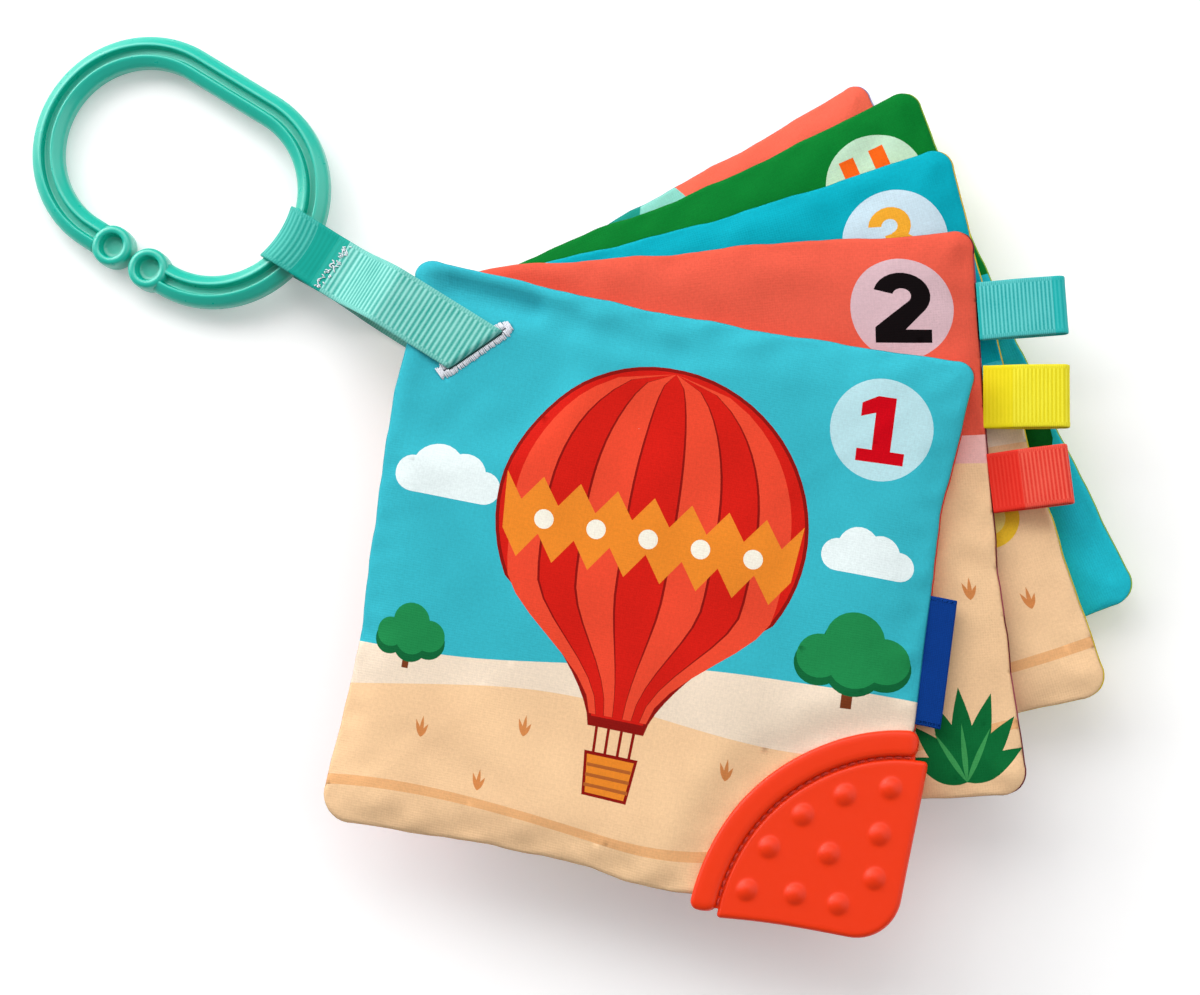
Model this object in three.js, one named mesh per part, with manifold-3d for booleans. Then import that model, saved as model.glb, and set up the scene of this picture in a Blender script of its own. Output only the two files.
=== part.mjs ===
// A soft cloth book for a baby, in millimetres, +Z up.
// Five padded pages lie fanned on a ribbon that passes through a stitched buttonhole in the corner
// of each page. The ribbon's loop holds an open plastic ring. The book lies flat, top page upward,
// with the top page square to the X and Y axes and the origin under the middle of the whole book.

import * as THREE from 'three';
import { mergeVertices } from 'three/addons/utils/BufferGeometryUtils.js';
import Module from 'manifold-3d';

const wasm = await Module();
wasm.setup();

// General
const clearance = 0.3;
const overrun = 2;

// Pages
const pageSide = 140;
const pageThickness = 6;
const pageCornerRadius = 9;
const sideDrawIn = 1.8;
const seamThickness = 1.6;
const seamRoll = 14;
const fabricThickness = 0.5;
const pageGap = 0.4;
const holeFromSide = 17;
const holeFromTop = 20;
const fanDegrees = [0, 16.5, 26.5, 35, 39.5];
const pageCount = fanDegrees.length;

// The thin, unpadded corner round each buttonhole
const holeFieldThickness = 1.8;
const holeFieldRadius = 20;
const holeFieldBlend = 12;
const holeDegrees = 45;

// Outline points of a page, as shares of a side, and how far in each ring of its surface lies
const sidePointShares = [0.19, 0.36, 0.64, 0.81];
const ringInsetShares = [0, 0.014, 0.043, 0.1, 0.186, 0.3];
const cornerSteps = 3;

// Padding in each page
const waddingThickness = 3;
const filmThickness = 0.4;
const paddingInset = 14.5;
const paddingHoleDistance = 40;
const paddingTeetherMargin = 2;

// Ribbon strap
const ribbonWidth = 16;
const ribbonThickness = 0.7;
const strapDegrees = 158.8;
const strapOverhang = 5;
const strapShoulder = 6;
const strapTail = 1.2;
const stitchSetback = 12.4;
const stitchedRun = 6;
const stitchHeight = 12.3;
const stitchSlopeDegrees = 12;
const returnOverhang = 7;
const eyePlay = 0.5;
const eyeLeaveDegrees = 140;
const curveSteps = 7;
const leastStep = 0.1;

// Buttonhole and its satin stitching
const slotPlay = 1.2;
const slotSlack = 0.35;
const threadWall = 0.4;
const threadLip = 0.9;
const threadThickness = 0.3;

// Zigzag stitch line across the strap
const zigzagLength = 3;
const zigzagMargin = 1.2;
const zigzagThread = 0.6;
const zigzagTurns = 7;

// Link ring
const barWidth = 8.2;
const barHeight = 6.6;
const ringBend = 25.3;
const ringStraight = 23.8;
const ringReach = 59;
const ringSteps = 40;
const ringBendPoints = 8;
const ringEndRadius = 5.1;
const ringEndHeight = 7;
const ringEndGap = 0.6;
const ringEndRound = 0.8;
const recessRadius = 2.7;
const recessDepth = 1.8;
const recessRound = 0.3;
const ringEndSteps = 18;
// Half of the bar's section, as shares of its half height and half width: rim, groove, rim
const barSectionShares = [
  [0.45, -1],
  [1, -0.56],
  [0.85, -0.3],
  [0.5, -0.2],
  [0.5, 0.2],
  [0.85, 0.3],
  [1, 0.56],
  [0.45, 1],
];

// Teether
const teetherProud = 3;
const teetherRadius = 49.5;
const teetherBandWidth = 6.2;
const teetherBandThickness = 5;
const teetherGroove = 1.4;
const teetherPlateThickness = 3.4;
const teetherWebThickness = 2;
const teetherCornerRadius = 12;
const teetherBevel = 0.6;
const teetherBite = 4.6;
const teetherSteps = 14;
const bumpRadius = 2.8;
const bumpHeight = 1.1;
const bumpSteps = 8;
// The bumps lie on three arcs round the teether's corner, whose radii are shares of the plate's
const bumpArcs = [
  { radiusShare: 0.883, degrees: [11, 28, 45, 62, 79] },
  { radiusShare: 0.62, degrees: [17, 45, 73] },
  { radiusShare: 0.382, degrees: [26, 64] },
];
const bumpProfileShares = [[0.55, 0.85], [0.88, 0.45], [1, 0]];
const sewingThread = 0.3;
const threadSides = 6;

// Ribbon tags on the second page
const tagWidth = 16;
const tagRibbon = 0.6;
const tagRootGap = 0.3;
const tagTipRadius = 1.1;
const tagSteps = 3;
const tealTagDown = 24.5;
const tealTagReach = 21;
const yellowTagDown = 45.2;
const yellowTagReach = 19.8;
const redTagDown = 65.2;
const redTagReach = 18.4;
const tagPlaces = [
  { name: 'tag_teal', down: tealTagDown, reach: tealTagReach, color: '#12b3ae' },
  { name: 'tag_yellow', down: yellowTagDown, reach: yellowTagReach, color: '#f0e020' },
  { name: 'tag_red', down: redTagDown, reach: redTagReach, color: '#ee3325' },
];

// Side label on the top page
const labelReach = 6.5;
const labelLength = 31;
const labelThickness = 0.6;
const labelTeetherGap = 4;

const frontColors = ['#3fbccb', '#ee6153', '#05a9c2', '#058a2c', '#ee6550'];
const backColors = ['#ea5444', '#7e2a3a', '#f2d33c', '#a5d048', '#a9a6dc'];

// Sizes worked out from the ones above
const halfPage = pageSide / 2;
const pageMiddle = new THREE.Vector2(halfPage - holeFromSide, holeFromTop - halfPage);
const pagePitch = pageThickness + pageGap;
const stitchHalf = holeFieldThickness / 2 + clearance + threadThickness;
// The lowest page leaves room under its buttonhole for the ribbon, and is flat at that depth
const restDepth = ribbonThickness + clearance + stitchHalf;
const slotLength = ribbonWidth + 2 * slotPlay;
const slotWidth = ribbonThickness + 2 * slotSlack;
const holeMargin = threadWall + clearance;
const teetherCentre = new THREE.Vector2(
  pageSide - holeFromSide + teetherProud,
  holeFromTop - pageSide - teetherProud,
);
const teetherBandInner = teetherRadius - teetherBandWidth;
const teetherPlateRadius = teetherBandInner - teetherGroove;
const fabricArcRadius = teetherRadius - teetherBite;
const labelEnd = pageSide + teetherProud - teetherRadius - labelTeetherGap;
const labelDown = labelEnd - labelLength / 2;
const bandBow = ringBend - Math.sqrt(ringBend ** 2 - (ribbonWidth / 2) ** 2);
const eyeX = ringReach + bandBow / 2;
const stitchReach = ringReach - stitchSetback;
const strapFlatRun = holeFromTop + strapOverhang;
const returnLiftOff = holeFromTop + returnOverhang;
const eyeInner = barWidth / 2 + bandBow / 2 + clearance + eyePlay;
const eyeZ = eyeInner + ribbonThickness;

const deg = THREE.MathUtils.degToRad;
const book = new THREE.Group();

// Helpers

function material(color, roughness, metalness = 0) {
  return new THREE.MeshStandardMaterial({ color, roughness, metalness });
}

function place(parent, name, geometry, look) {
  const mesh = new THREE.Mesh(geometry, look);
  mesh.name = name;
  parent.add(mesh);
  return mesh;
}

function toSolid(geometry) {
  const bare = geometry.clone();
  bare.deleteAttribute('normal');
  bare.deleteAttribute('uv');
  const merged = mergeVertices(bare);
  const vertProperties = new Float32Array(merged.attributes.position.array);
  const triVerts = new Uint32Array(merged.index.array);
  return new wasm.Manifold(new wasm.Mesh({ numProp: 3, vertProperties, triVerts }));
}

function toGeometry(solid) {
  const mesh = solid.getMesh();
  const geometry = new THREE.BufferGeometry();
  geometry.setAttribute('position', new THREE.BufferAttribute(mesh.vertProperties, 3));
  geometry.setIndex(new THREE.BufferAttribute(mesh.triVerts, 1));
  geometry.computeVertexNormals();
  return geometry;
}

function boxSolid(length, width, height, z, turn) {
  const geometry = new THREE.BoxGeometry(length, width, height);
  geometry.rotateZ(turn);
  geometry.translate(0, 0, z);
  return toSolid(geometry);
}

// A flat outline drawn upward from bottom to top
function slab(shape, bottom, top) {
  const geometry = new THREE.ExtrudeGeometry(shape, { depth: top - bottom, bevelEnabled: false });
  geometry.translate(0, 0, bottom);
  return geometry;
}

// A closed skin over rings of equally many points, each end closed to the middle of its ring
function loft(rings) {
  const count = rings[0].length;
  const points = rings.flat();
  const faces = [];
  for (let ring = 0; ring + 1 < rings.length; ring += 1) {
    for (let i = 0; i < count; i += 1) {
      const a = ring * count + i;
      const b = ring * count + (i + 1) % count;
      faces.push(a, b, b + count, a, b + count, a + count);
    }
  }
  const middle = (ring) => ring.reduce((sum, p) => sum.add(p), new THREE.Vector3()).divideScalar(count);
  const last = (rings.length - 1) * count;
  points.push(middle(rings[0]), middle(rings.at(-1)));
  for (let i = 0; i < count; i += 1) {
    const next = (i + 1) % count;
    faces.push(points.length - 2, next, i);
    faces.push(points.length - 1, last + i, last + next);
  }
  const geometry = new THREE.BufferGeometry().setFromPoints(points);
  geometry.setIndex(faces);
  geometry.computeVertexNormals();
  return geometry;
}

// A ribbon seen from its side: a line given thickness, then drawn out to the ribbon's width
function ribbon(line, thickness, width) {
  const upper = [];
  const lower = [];
  line.forEach((point, i) => {
    const before = line[Math.max(i - 1, 0)];
    const after = line[Math.min(i + 1, line.length - 1)];
    const along = after.clone().sub(before).normalize();
    const across = new THREE.Vector2(-along.y, along.x).multiplyScalar(thickness / 2);
    upper.push(point.clone().add(across));
    lower.unshift(point.clone().sub(across));
  });
  const shape = new THREE.Shape([...upper, ...lower]);
  const geometry = new THREE.ExtrudeGeometry(shape, { depth: width, bevelEnabled: false });
  geometry.translate(0, 0, -width / 2);
  geometry.rotateX(deg(90));
  return geometry;
}

// Pages

function pageMid(page) {
  return restDepth + (pageCount - page) * pagePitch;
}

function smooth(share) {
  return THREE.MathUtils.smoothstep(share, 0, 1);
}

// The page's outline, anticlockwise from the corner that is furthest from the ribbon.
// On the top page that corner is cut to an arc, where the teether holds the cloth.
function pageOutline(hasTeether) {
  const arcRadius = pageCornerRadius;
  const left = arcRadius - holeFromSide;
  const right = pageSide - holeFromSide - arcRadius;
  const top = holeFromTop - arcRadius;
  const bottom = holeFromTop - pageSide + arcRadius;
  const corners = [[right, bottom], [right, top], [left, top], [left, bottom]];
  const points = [];
  corners.forEach(([x, y], corner) => {
    const start = deg(90 * (corner - 1));
    for (let step = 0; step <= cornerSteps; step += 1) {
      const angle = start + deg(90) * step / cornerSteps;
      points.push(new THREE.Vector2(x + arcRadius * Math.cos(angle), y + arcRadius * Math.sin(angle)));
    }
    const outward = new THREE.Vector2(Math.cos(start + deg(90)), Math.sin(start + deg(90)));
    const along = new THREE.Vector2(-outward.y, outward.x);
    for (const share of sidePointShares) {
      const out = halfPage - sideDrawIn * 4 * share * (1 - share);
      const side = pageMiddle.clone().addScaledVector(outward, out);
      points.push(side.addScaledVector(along, pageSide * (share - 1 / 2)));
    }
  });
  if (!hasTeether) {
    return points;
  }
  const kept = points.filter((point) => point.distanceTo(teetherCentre) > fabricArcRadius);
  const lean = Math.asin(teetherProud / fabricArcRadius);
  const arcSteps = teetherSteps / 2;
  const arc = [];
  for (let step = 0; step <= arcSteps; step += 1) {
    const angle = deg(180) - lean - (deg(90) - 2 * lean) * step / arcSteps;
    const spoke = new THREE.Vector2(Math.cos(angle), Math.sin(angle));
    arc.push(teetherCentre.clone().addScaledVector(spoke, fabricArcRadius));
  }
  return [...arc, ...kept];
}

// Half of the page's thickness at a point that lies the given distance inside the seam
function halfThickness(point, inset, hasTeether) {
  const seam = seamThickness / 2;
  const full = pageThickness / 2;
  const field = holeFieldThickness / 2;
  const fromHole = smooth((point.length() - holeFieldRadius) / holeFieldBlend);
  let rise = 1 - (1 - Math.min(inset / seamRoll, 1)) ** 2;
  if (hasTeether) {
    rise = Math.min(rise, smooth((point.distanceTo(teetherCentre) - teetherRadius - clearance) / seamRoll));
  }
  return seam + (field + (full - field) * fromHole - seam) * rise;
}

// One cover of a page, a cloth shell. The front has side 1 and the back side -1.
function coverGeometry(page, side) {
  const hasTeether = page === 1;
  const limit = page === pageCount && side < 0 ? restDepth : pageThickness;
  const outline = pageOutline(hasTeether);
  const outer = [];
  const inner = [];
  for (const share of ringInsetShares) {
    const inset = share * pageSide;
    const flat = outline.map((point) => point.clone().lerp(pageMiddle, inset / halfPage));
    const heights = flat.map((point) => Math.min(halfThickness(point, inset, hasTeether), limit));
    const insideHeights = heights.map((z) => (inset === 0 ? clearance / 2 : z - fabricThickness));
    outer.push(flat.map((point, i) => new THREE.Vector3(point.x, point.y, side * heights[i])));
    inner.push(flat.map((point, i) => new THREE.Vector3(point.x, point.y, side * insideHeights[i])));
  }
  const rings = side > 0 ? [...inner.reverse(), ...outer] : [...outer.reverse(), ...inner];
  const hole = boxSolid(
    slotLength + 2 * holeMargin,
    slotWidth + 2 * holeMargin,
    2 * pageThickness,
    0,
    deg(holeDegrees),
  );
  return toGeometry(toSolid(loft(rings)).subtract(hole));
}

// The flat outline of the film and wadding: clear of the seam, the buttonhole and the teether
function paddingShape(hasTeether) {
  const left = paddingInset - holeFromSide;
  const right = pageSide - holeFromSide - paddingInset;
  const top = holeFromTop - paddingInset;
  const bottom = holeFromTop - pageSide + paddingInset;
  const cut = paddingHoleDistance * Math.SQRT2;
  const shape = new THREE.Shape();
  shape.moveTo(top + cut, top);
  shape.lineTo(left, left - cut);
  shape.lineTo(left, bottom);
  if (hasTeether) {
    const radius = teetherRadius + seamRoll + paddingTeetherMargin;
    const lean = Math.asin((paddingInset + teetherProud) / radius);
    shape.absarc(teetherCentre.x, teetherCentre.y, radius, deg(180) - lean, deg(90) + lean, true);
  } else {
    shape.lineTo(right, bottom);
  }
  shape.lineTo(right, top);
  return new THREE.Shape(shape.getPoints(teetherSteps / 4));
}

// Satin stitching that wraps the edge of the buttonhole through both covers
function buttonholeGeometry() {
  const turn = deg(holeDegrees);
  const wallLength = slotLength + 2 * threadWall;
  const wallWidth = slotWidth + 2 * threadWall;
  const lipLength = slotLength + 2 * (holeMargin + threadLip);
  const lipWidth = slotWidth + 2 * (holeMargin + threadLip);
  const lipZ = stitchHalf - threadThickness / 2;
  const wall = boxSolid(wallLength, wallWidth, 2 * stitchHalf, 0, turn);
  const upper = boxSolid(lipLength, lipWidth, threadThickness, lipZ, turn);
  const lower = boxSolid(lipLength, lipWidth, threadThickness, -lipZ, turn);
  const opening = boxSolid(slotLength, slotWidth, 2 * stitchHalf + overrun, 0, turn);
  return toGeometry(wall.add(upper).add(lower).subtract(opening));
}

const pages = [];
for (let page = 1; page <= pageCount; page += 1) {
  const group = new THREE.Group();
  group.rotation.z = deg(fanDegrees[page - 1]);
  group.position.z = pageMid(page);
  book.add(group);
  pages.push(group);
  const padding = paddingShape(page === 1);
  const waddingBottom = clearance + fabricThickness - restDepth;
  const waddingTop = waddingBottom + waddingThickness;
  const filmBottom = waddingTop + clearance;
  const front = material(frontColors[page - 1], 0.75);
  const back = material(backColors[page - 1], 0.75);
  place(group, `page_${page}_front_cover`, coverGeometry(page, 1), front);
  place(group, `page_${page}_back_cover`, coverGeometry(page, -1), back);
  place(group, `page_${page}_wadding`, slab(padding, waddingBottom, waddingTop), material('#f4f2ea', 0.95));
  place(
    group,
    `page_${page}_crinkle_film`,
    slab(padding, filmBottom, filmBottom + filmThickness),
    material('#dfe6ea', 0.2),
  );
  place(group, `page_${page}_buttonhole_stitching`, buttonholeGeometry(), material('#f2f3f7', 0.6));
}

// Ribbon strap, drawn in a frame whose X runs from the buttonholes to the ring

const strap = new THREE.Group();
strap.rotation.z = deg(strapDegrees);
book.add(strap);
const ribbonLook = material('#1fb0a3', 0.7);
const layer = ribbonThickness + clearance;
const topZ = pageMid(1) + stitchHalf + clearance + ribbonThickness / 2;
const stitchFall = Math.tan(deg(stitchSlopeDegrees)) * stitchedRun / 2;
const stitchStart = stitchReach - stitchedRun / 2;
const stitchEnd = stitchReach + stitchedRun / 2;

// The upper run leaves the buttonhole, drops off the stack of pages and wraps the ring's bar
function upperRunLine() {
  const line = new THREE.Path();
  const eyeRadius = eyeInner + ribbonThickness / 2;
  const shoulderEnd = strapFlatRun + strapShoulder;
  const firstZ = stitchHeight + stitchFall;
  const lastZ = stitchHeight - stitchFall;
  const under = -deg(eyeLeaveDegrees);
  const leaveX = eyeX + eyeRadius * Math.cos(under);
  const leaveZ = eyeZ + eyeRadius * Math.sin(under);
  line.moveTo(-strapTail, topZ);
  line.lineTo(strapFlatRun, topZ);
  line.bezierCurveTo(
    shoulderEnd,
    topZ,
    stitchStart - strapShoulder,
    firstZ + stitchFall,
    stitchStart,
    firstZ,
  );
  line.lineTo(stitchEnd, lastZ);
  line.quadraticCurveTo((stitchEnd + eyeX) / 2, eyeZ + eyeRadius, eyeX, eyeZ + eyeRadius);
  line.absarc(eyeX, eyeZ, eyeRadius, deg(90), under, true);
  line.quadraticCurveTo(
    leaveX + (leaveZ - lastZ + 2 * layer) * Math.tan(deg(180) + under),
    lastZ - 2 * layer,
    stitchStart,
    firstZ - 2 * layer,
  );
  return dropRepeats(line.getPoints(curveSteps));
}

function returnRunLine() {
  const line = new THREE.Path();
  const bottomZ = ribbonThickness / 2;
  const firstZ = stitchHeight + stitchFall - layer;
  line.moveTo(-strapTail, bottomZ);
  line.lineTo(returnLiftOff, bottomZ);
  line.bezierCurveTo(
    returnLiftOff + 2 * strapShoulder,
    bottomZ,
    stitchStart - strapShoulder,
    firstZ + stitchFall,
    stitchStart,
    firstZ,
  );
  line.lineTo(stitchReach, stitchHeight - layer);
  return dropRepeats(line.getPoints(curveSteps));
}

function dropRepeats(points) {
  return points.filter((point, i) => i === 0 || point.distanceTo(points[i - 1]) > leastStep);
}

// The neck goes down through the five buttonholes and turns to the angle of each
function neckGeometry() {
  const corners = [[-1, -1], [1, -1], [1, 1], [-1, 1]];
  const levels = [];
  for (let page = pageCount; page >= 1; page -= 1) {
    const angle = deg(holeDegrees + fanDegrees[page - 1]);
    const reach = stitchHalf + clearance / 2;
    const bottom = page === pageCount ? layer : pageMid(page) - reach;
    const top = page === 1 ? topZ - ribbonThickness / 2 - clearance : pageMid(page) + reach;
    if (levels.length > 0) {
      const below = levels.at(-1);
      levels.push({ z: (below.z + bottom) / 2, angle: (below.angle + angle) / 2 });
    }
    levels.push({ z: bottom, angle }, { z: top, angle });
  }
  const rings = levels.map(({ z, angle }) => corners.map(([x, y]) => {
    const point = new THREE.Vector3(x * ribbonWidth / 2, y * ribbonThickness / 2, z);
    return point.applyAxisAngle(new THREE.Vector3(0, 0, 1), angle);
  }));
  return loft(rings);
}

function zigzagGeometry() {
  const half = ribbonWidth / 2 - zigzagMargin;
  const line = [];
  for (let turn = 0; turn <= zigzagTurns; turn += 1) {
    const x = turn % 2 === 0 ? -zigzagLength / 2 : zigzagLength / 2;
    line.push(new THREE.Vector2(x, half * (2 * turn / zigzagTurns - 1)));
  }
  const shift = new THREE.Vector2(zigzagThread, 0);
  const right = line.map((point) => point.clone().add(shift));
  return slab(new THREE.Shape([...line.reverse(), ...right]), 0, threadThickness);
}

place(strap, 'strap_upper_run', ribbon(upperRunLine(), ribbonThickness, ribbonWidth), ribbonLook);
place(strap, 'strap_return_run', ribbon(returnRunLine(), ribbonThickness, ribbonWidth), ribbonLook);
place(book, 'strap_neck', neckGeometry(), ribbonLook);
const zigzag = place(strap, 'strap_zigzag_stitching', zigzagGeometry(), material('#f2f3f7', 0.6));
zigzag.rotation.y = deg(stitchSlopeDegrees);
zigzag.position.set(stitchReach, 0, stitchHeight + ribbonThickness / 2 + clearance);

// Link ring, drawn round the hinge line in the ribbon's eye

function ringEnd(x) {
  const half = ringEndHeight / 2;
  const floor = half - recessDepth;
  const side = [
    [0, floor],
    [recessRadius, floor],
    [recessRadius + recessRound, half],
    [ringEndRadius - ringEndRound, half],
    [ringEndRadius, half - ringEndRound],
  ];
  const upper = side.map(([radius, y]) => new THREE.Vector2(radius, y));
  const lower = side.map(([radius, y]) => new THREE.Vector2(radius, -y)).reverse();
  const geometry = new THREE.LatheGeometry([...upper, ...lower].reverse(), ringEndSteps);
  geometry.rotateX(deg(90));
  geometry.translate(x, ringBend, 0);
  return toSolid(geometry);
}

function ringGeometry() {
  const nearX = ringReach + ringBend - eyeX;
  const farX = nearX + ringStraight;
  const middleX = (nearX + farX) / 2;
  const endX = ringEndRadius + ringEndGap / 2;
  const barEndX = endX + (ringEndRadius + recessRadius) / 2;
  const points = [new THREE.Vector3(middleX + barEndX, ringBend, 0)];
  const bends = [{ x: farX, startDegrees: 90 }, { x: nearX, startDegrees: -90 }];
  for (const { x, startDegrees } of bends) {
    for (let i = 0; i <= ringBendPoints; i += 1) {
      const angle = deg(startDegrees - 180 * i / ringBendPoints);
      points.push(new THREE.Vector3(x + ringBend * Math.cos(angle), ringBend * Math.sin(angle), 0));
    }
  }
  points.push(new THREE.Vector3(middleX - barEndX, ringBend, 0));
  const upper = barSectionShares.map(([up, across]) => (
    new THREE.Vector2(up * barHeight / 2, across * barWidth / 2)
  ));
  const lower = upper.map((point) => new THREE.Vector2(-point.x, point.y)).reverse();
  const bar = new THREE.ExtrudeGeometry(new THREE.Shape([...upper, ...lower]), {
    steps: ringSteps,
    extrudePath: new THREE.CatmullRomCurve3(points, false, 'centripetal'),
  });
  const ends = ringEnd(middleX + endX).add(ringEnd(middleX - endX));
  return toGeometry(toSolid(bar).add(ends));
}

const ring = place(strap, 'link_ring', ringGeometry(), material('#0aa892', 0.35));
const ringLength = ringStraight + 2 * ringBend + barWidth / 2;
ring.position.set(eyeX, 0, eyeZ);
// The ring leans down from the eye until its far end lies on the floor
ring.rotation.y = Math.asin((eyeZ - barHeight / 2) / ringLength);

// Teether in the corner of the top page

function arcBand(innerRadius, outerRadius, margin) {
  const innerLean = Math.asin(margin / innerRadius);
  const outerLean = Math.asin(margin / outerRadius);
  const shape = new THREE.Shape();
  shape.absarc(0, 0, outerRadius, deg(90) + outerLean, deg(180) - outerLean, false);
  shape.absarc(0, 0, innerRadius, deg(180) - innerLean, deg(90) + innerLean, true);
  return new THREE.Shape(shape.getPoints(teetherSteps / 2));
}

function plateShape() {
  const shape = new THREE.Shape();
  const round = teetherCornerRadius;
  shape.moveTo(0, teetherPlateRadius);
  shape.absarc(0, 0, teetherPlateRadius, deg(90), deg(180), false);
  shape.lineTo(-round, 0);
  shape.absarc(-round, round, round, deg(-90), 0, false);
  return new THREE.Shape(dropRepeats(shape.getPoints(teetherSteps / 2)));
}

function rounded(shape, thickness) {
  const geometry = new THREE.ExtrudeGeometry(shape, {
    depth: thickness - 2 * teetherBevel,
    bevelThickness: teetherBevel,
    bevelSize: teetherBevel,
    bevelOffset: -teetherBevel,
    bevelSegments: 1,
  });
  geometry.translate(0, 0, teetherBevel - thickness / 2);
  return toSolid(geometry);
}

function bump(x, y) {
  const half = teetherPlateThickness / 2;
  const side = bumpProfileShares.map(([out, up]) => (
    new THREE.Vector2(out * bumpRadius, half + up * bumpHeight)
  ));
  const upper = [new THREE.Vector2(0, half + bumpHeight), ...side];
  const lower = upper.map((point) => new THREE.Vector2(point.x, -point.y));
  const geometry = new THREE.LatheGeometry([...lower, ...upper.reverse()], bumpSteps);
  geometry.rotateX(deg(90));
  geometry.translate(x, y, 0);
  return toSolid(geometry);
}

function teetherGeometry() {
  const margin = teetherProud;
  const web = slab(
    arcBand(teetherPlateRadius - teetherGroove, teetherBandInner + teetherGroove, margin),
    -teetherWebThickness / 2,
    teetherWebThickness / 2,
  );
  const mouthHalf = seamThickness / 2 + clearance;
  const mouth = slab(
    arcBand(fabricArcRadius - clearance, teetherRadius + overrun, -overrun),
    -mouthHalf,
    mouthHalf,
  );
  let solid = rounded(plateShape(), teetherPlateThickness).add(toSolid(web));
  solid = solid.add(rounded(arcBand(teetherBandInner, teetherRadius, margin), teetherBandThickness));
  solid = solid.subtract(toSolid(mouth));
  for (const { radiusShare, degrees } of bumpArcs) {
    const radius = radiusShare * teetherPlateRadius;
    for (const angle of degrees) {
      solid = solid.add(bump(-radius * Math.cos(deg(angle)), radius * Math.sin(deg(angle))));
    }
  }
  return toGeometry(solid);
}

// The sewing thread lies in the groove between the plate and the band
function teetherThread() {
  const radius = (teetherPlateRadius + teetherBandInner) / 2;
  const lean = 2 * teetherProud / radius;
  const points = [];
  for (let step = 0; step <= teetherSteps; step += 1) {
    const angle = deg(90) + lean + (deg(90) - 2 * lean) * step / teetherSteps;
    points.push(new THREE.Vector3(radius * Math.cos(angle), radius * Math.sin(angle), 0));
  }
  const section = new THREE.EllipseCurve(0, 0, sewingThread, sewingThread).getPoints(threadSides);
  return new THREE.ExtrudeGeometry(new THREE.Shape(section.slice(1)), {
    steps: teetherSteps,
    extrudePath: new THREE.CatmullRomCurve3(points),
  });
}

const teetherLook = material('#e8381f', 0.45);
const teether = place(pages[0], 'teether', teetherGeometry(), teetherLook);
teether.position.set(teetherCentre.x, teetherCentre.y, 0);
const thread = place(pages[0], 'teether_stitching', teetherThread(), material('#f05a40', 0.6));
const threadZ = teetherWebThickness / 2 + clearance + sewingThread;
thread.position.set(teetherCentre.x, teetherCentre.y, threadZ);

// Tags and label, sewn against the seam on the side away from the ribbon

// The furthest that a page's seam reaches along a stretch of that side
function seamX(outline, down, width) {
  const low = holeFromTop - down - width / 2;
  const high = low + width;
  let reach = 0;
  outline.forEach((start, i) => {
    const end = outline[(i + 1) % outline.length];
    for (const y of [low, high, start.y]) {
      const share = (y - start.y) / (end.y - start.y);
      if (y >= low && y <= high && share >= 0 && share < 1) {
        reach = Math.max(reach, THREE.MathUtils.lerp(start.x, end.x, share));
      }
    }
  });
  return reach;
}

function tagGeometry(reach) {
  const rootZ = (tagRibbon + tagRootGap) / 2;
  const tipX = reach - tagTipRadius - tagRibbon / 2;
  const line = new THREE.Path();
  line.moveTo(0, rootZ);
  line.lineTo(tipX, tagTipRadius);
  line.absarc(tipX, 0, tagTipRadius, deg(90), deg(-90), true);
  line.lineTo(0, -rootZ);
  return ribbon(dropRepeats(line.getPoints(tagSteps)), tagRibbon, tagWidth);
}

for (const { name, down, reach, color } of tagPlaces) {
  const tag = place(pages[1], name, tagGeometry(reach), material(color, 0.7));
  tag.position.set(seamX(pageOutline(false), down, tagWidth) + clearance, holeFromTop - down, 0);
}

const labelSize = [labelReach, labelLength, labelThickness];
const label = place(pages[0], 'side_label', new THREE.BoxGeometry(...labelSize), material('#0b3d86', 0.6));
const labelSeamX = seamX(pageOutline(true), labelDown, labelLength);
label.position.set(labelSeamX + clearance + labelReach / 2, holeFromTop - labelDown, 0);

// The origin lies under the middle of the book's box
const bounds = new THREE.Box3().setFromObject(book, true);
const centre = bounds.getCenter(new THREE.Vector3());
book.position.set(-centre.x, -centre.y, -bounds.min.z);

export default book;
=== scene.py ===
import math
from math import radians

import bmesh
import bpy
import numpy as np
from mathutils import Matrix, Vector
from mathutils.geometry import delaunay_2d_cdt


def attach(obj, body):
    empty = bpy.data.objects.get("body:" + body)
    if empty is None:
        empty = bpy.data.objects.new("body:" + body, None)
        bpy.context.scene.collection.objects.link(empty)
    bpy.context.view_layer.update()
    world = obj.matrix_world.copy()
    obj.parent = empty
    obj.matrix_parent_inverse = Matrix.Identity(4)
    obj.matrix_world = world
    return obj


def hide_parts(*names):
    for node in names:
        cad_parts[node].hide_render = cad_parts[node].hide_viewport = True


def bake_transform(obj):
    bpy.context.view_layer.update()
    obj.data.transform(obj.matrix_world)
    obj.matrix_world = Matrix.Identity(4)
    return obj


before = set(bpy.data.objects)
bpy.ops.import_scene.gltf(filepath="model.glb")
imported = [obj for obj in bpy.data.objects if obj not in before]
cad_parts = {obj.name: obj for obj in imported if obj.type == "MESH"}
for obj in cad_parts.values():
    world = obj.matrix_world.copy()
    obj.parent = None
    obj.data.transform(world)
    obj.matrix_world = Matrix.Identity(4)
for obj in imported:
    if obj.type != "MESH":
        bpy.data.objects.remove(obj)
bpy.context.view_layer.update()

# Sizes in millimetres, the same as in the part's source. Meshes are worked out in millimetres and
# written in metres. PIVOT is the ribbon's neck in the row's frame, about which the pages turn.
PIVOT = np.array([-18.63, 16.561])
FAN = [0, 16.5, 26.5, 35, 39.5]
PAGES = range(1, 6)
SIDE = 140
HALF = SIDE / 2
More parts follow.
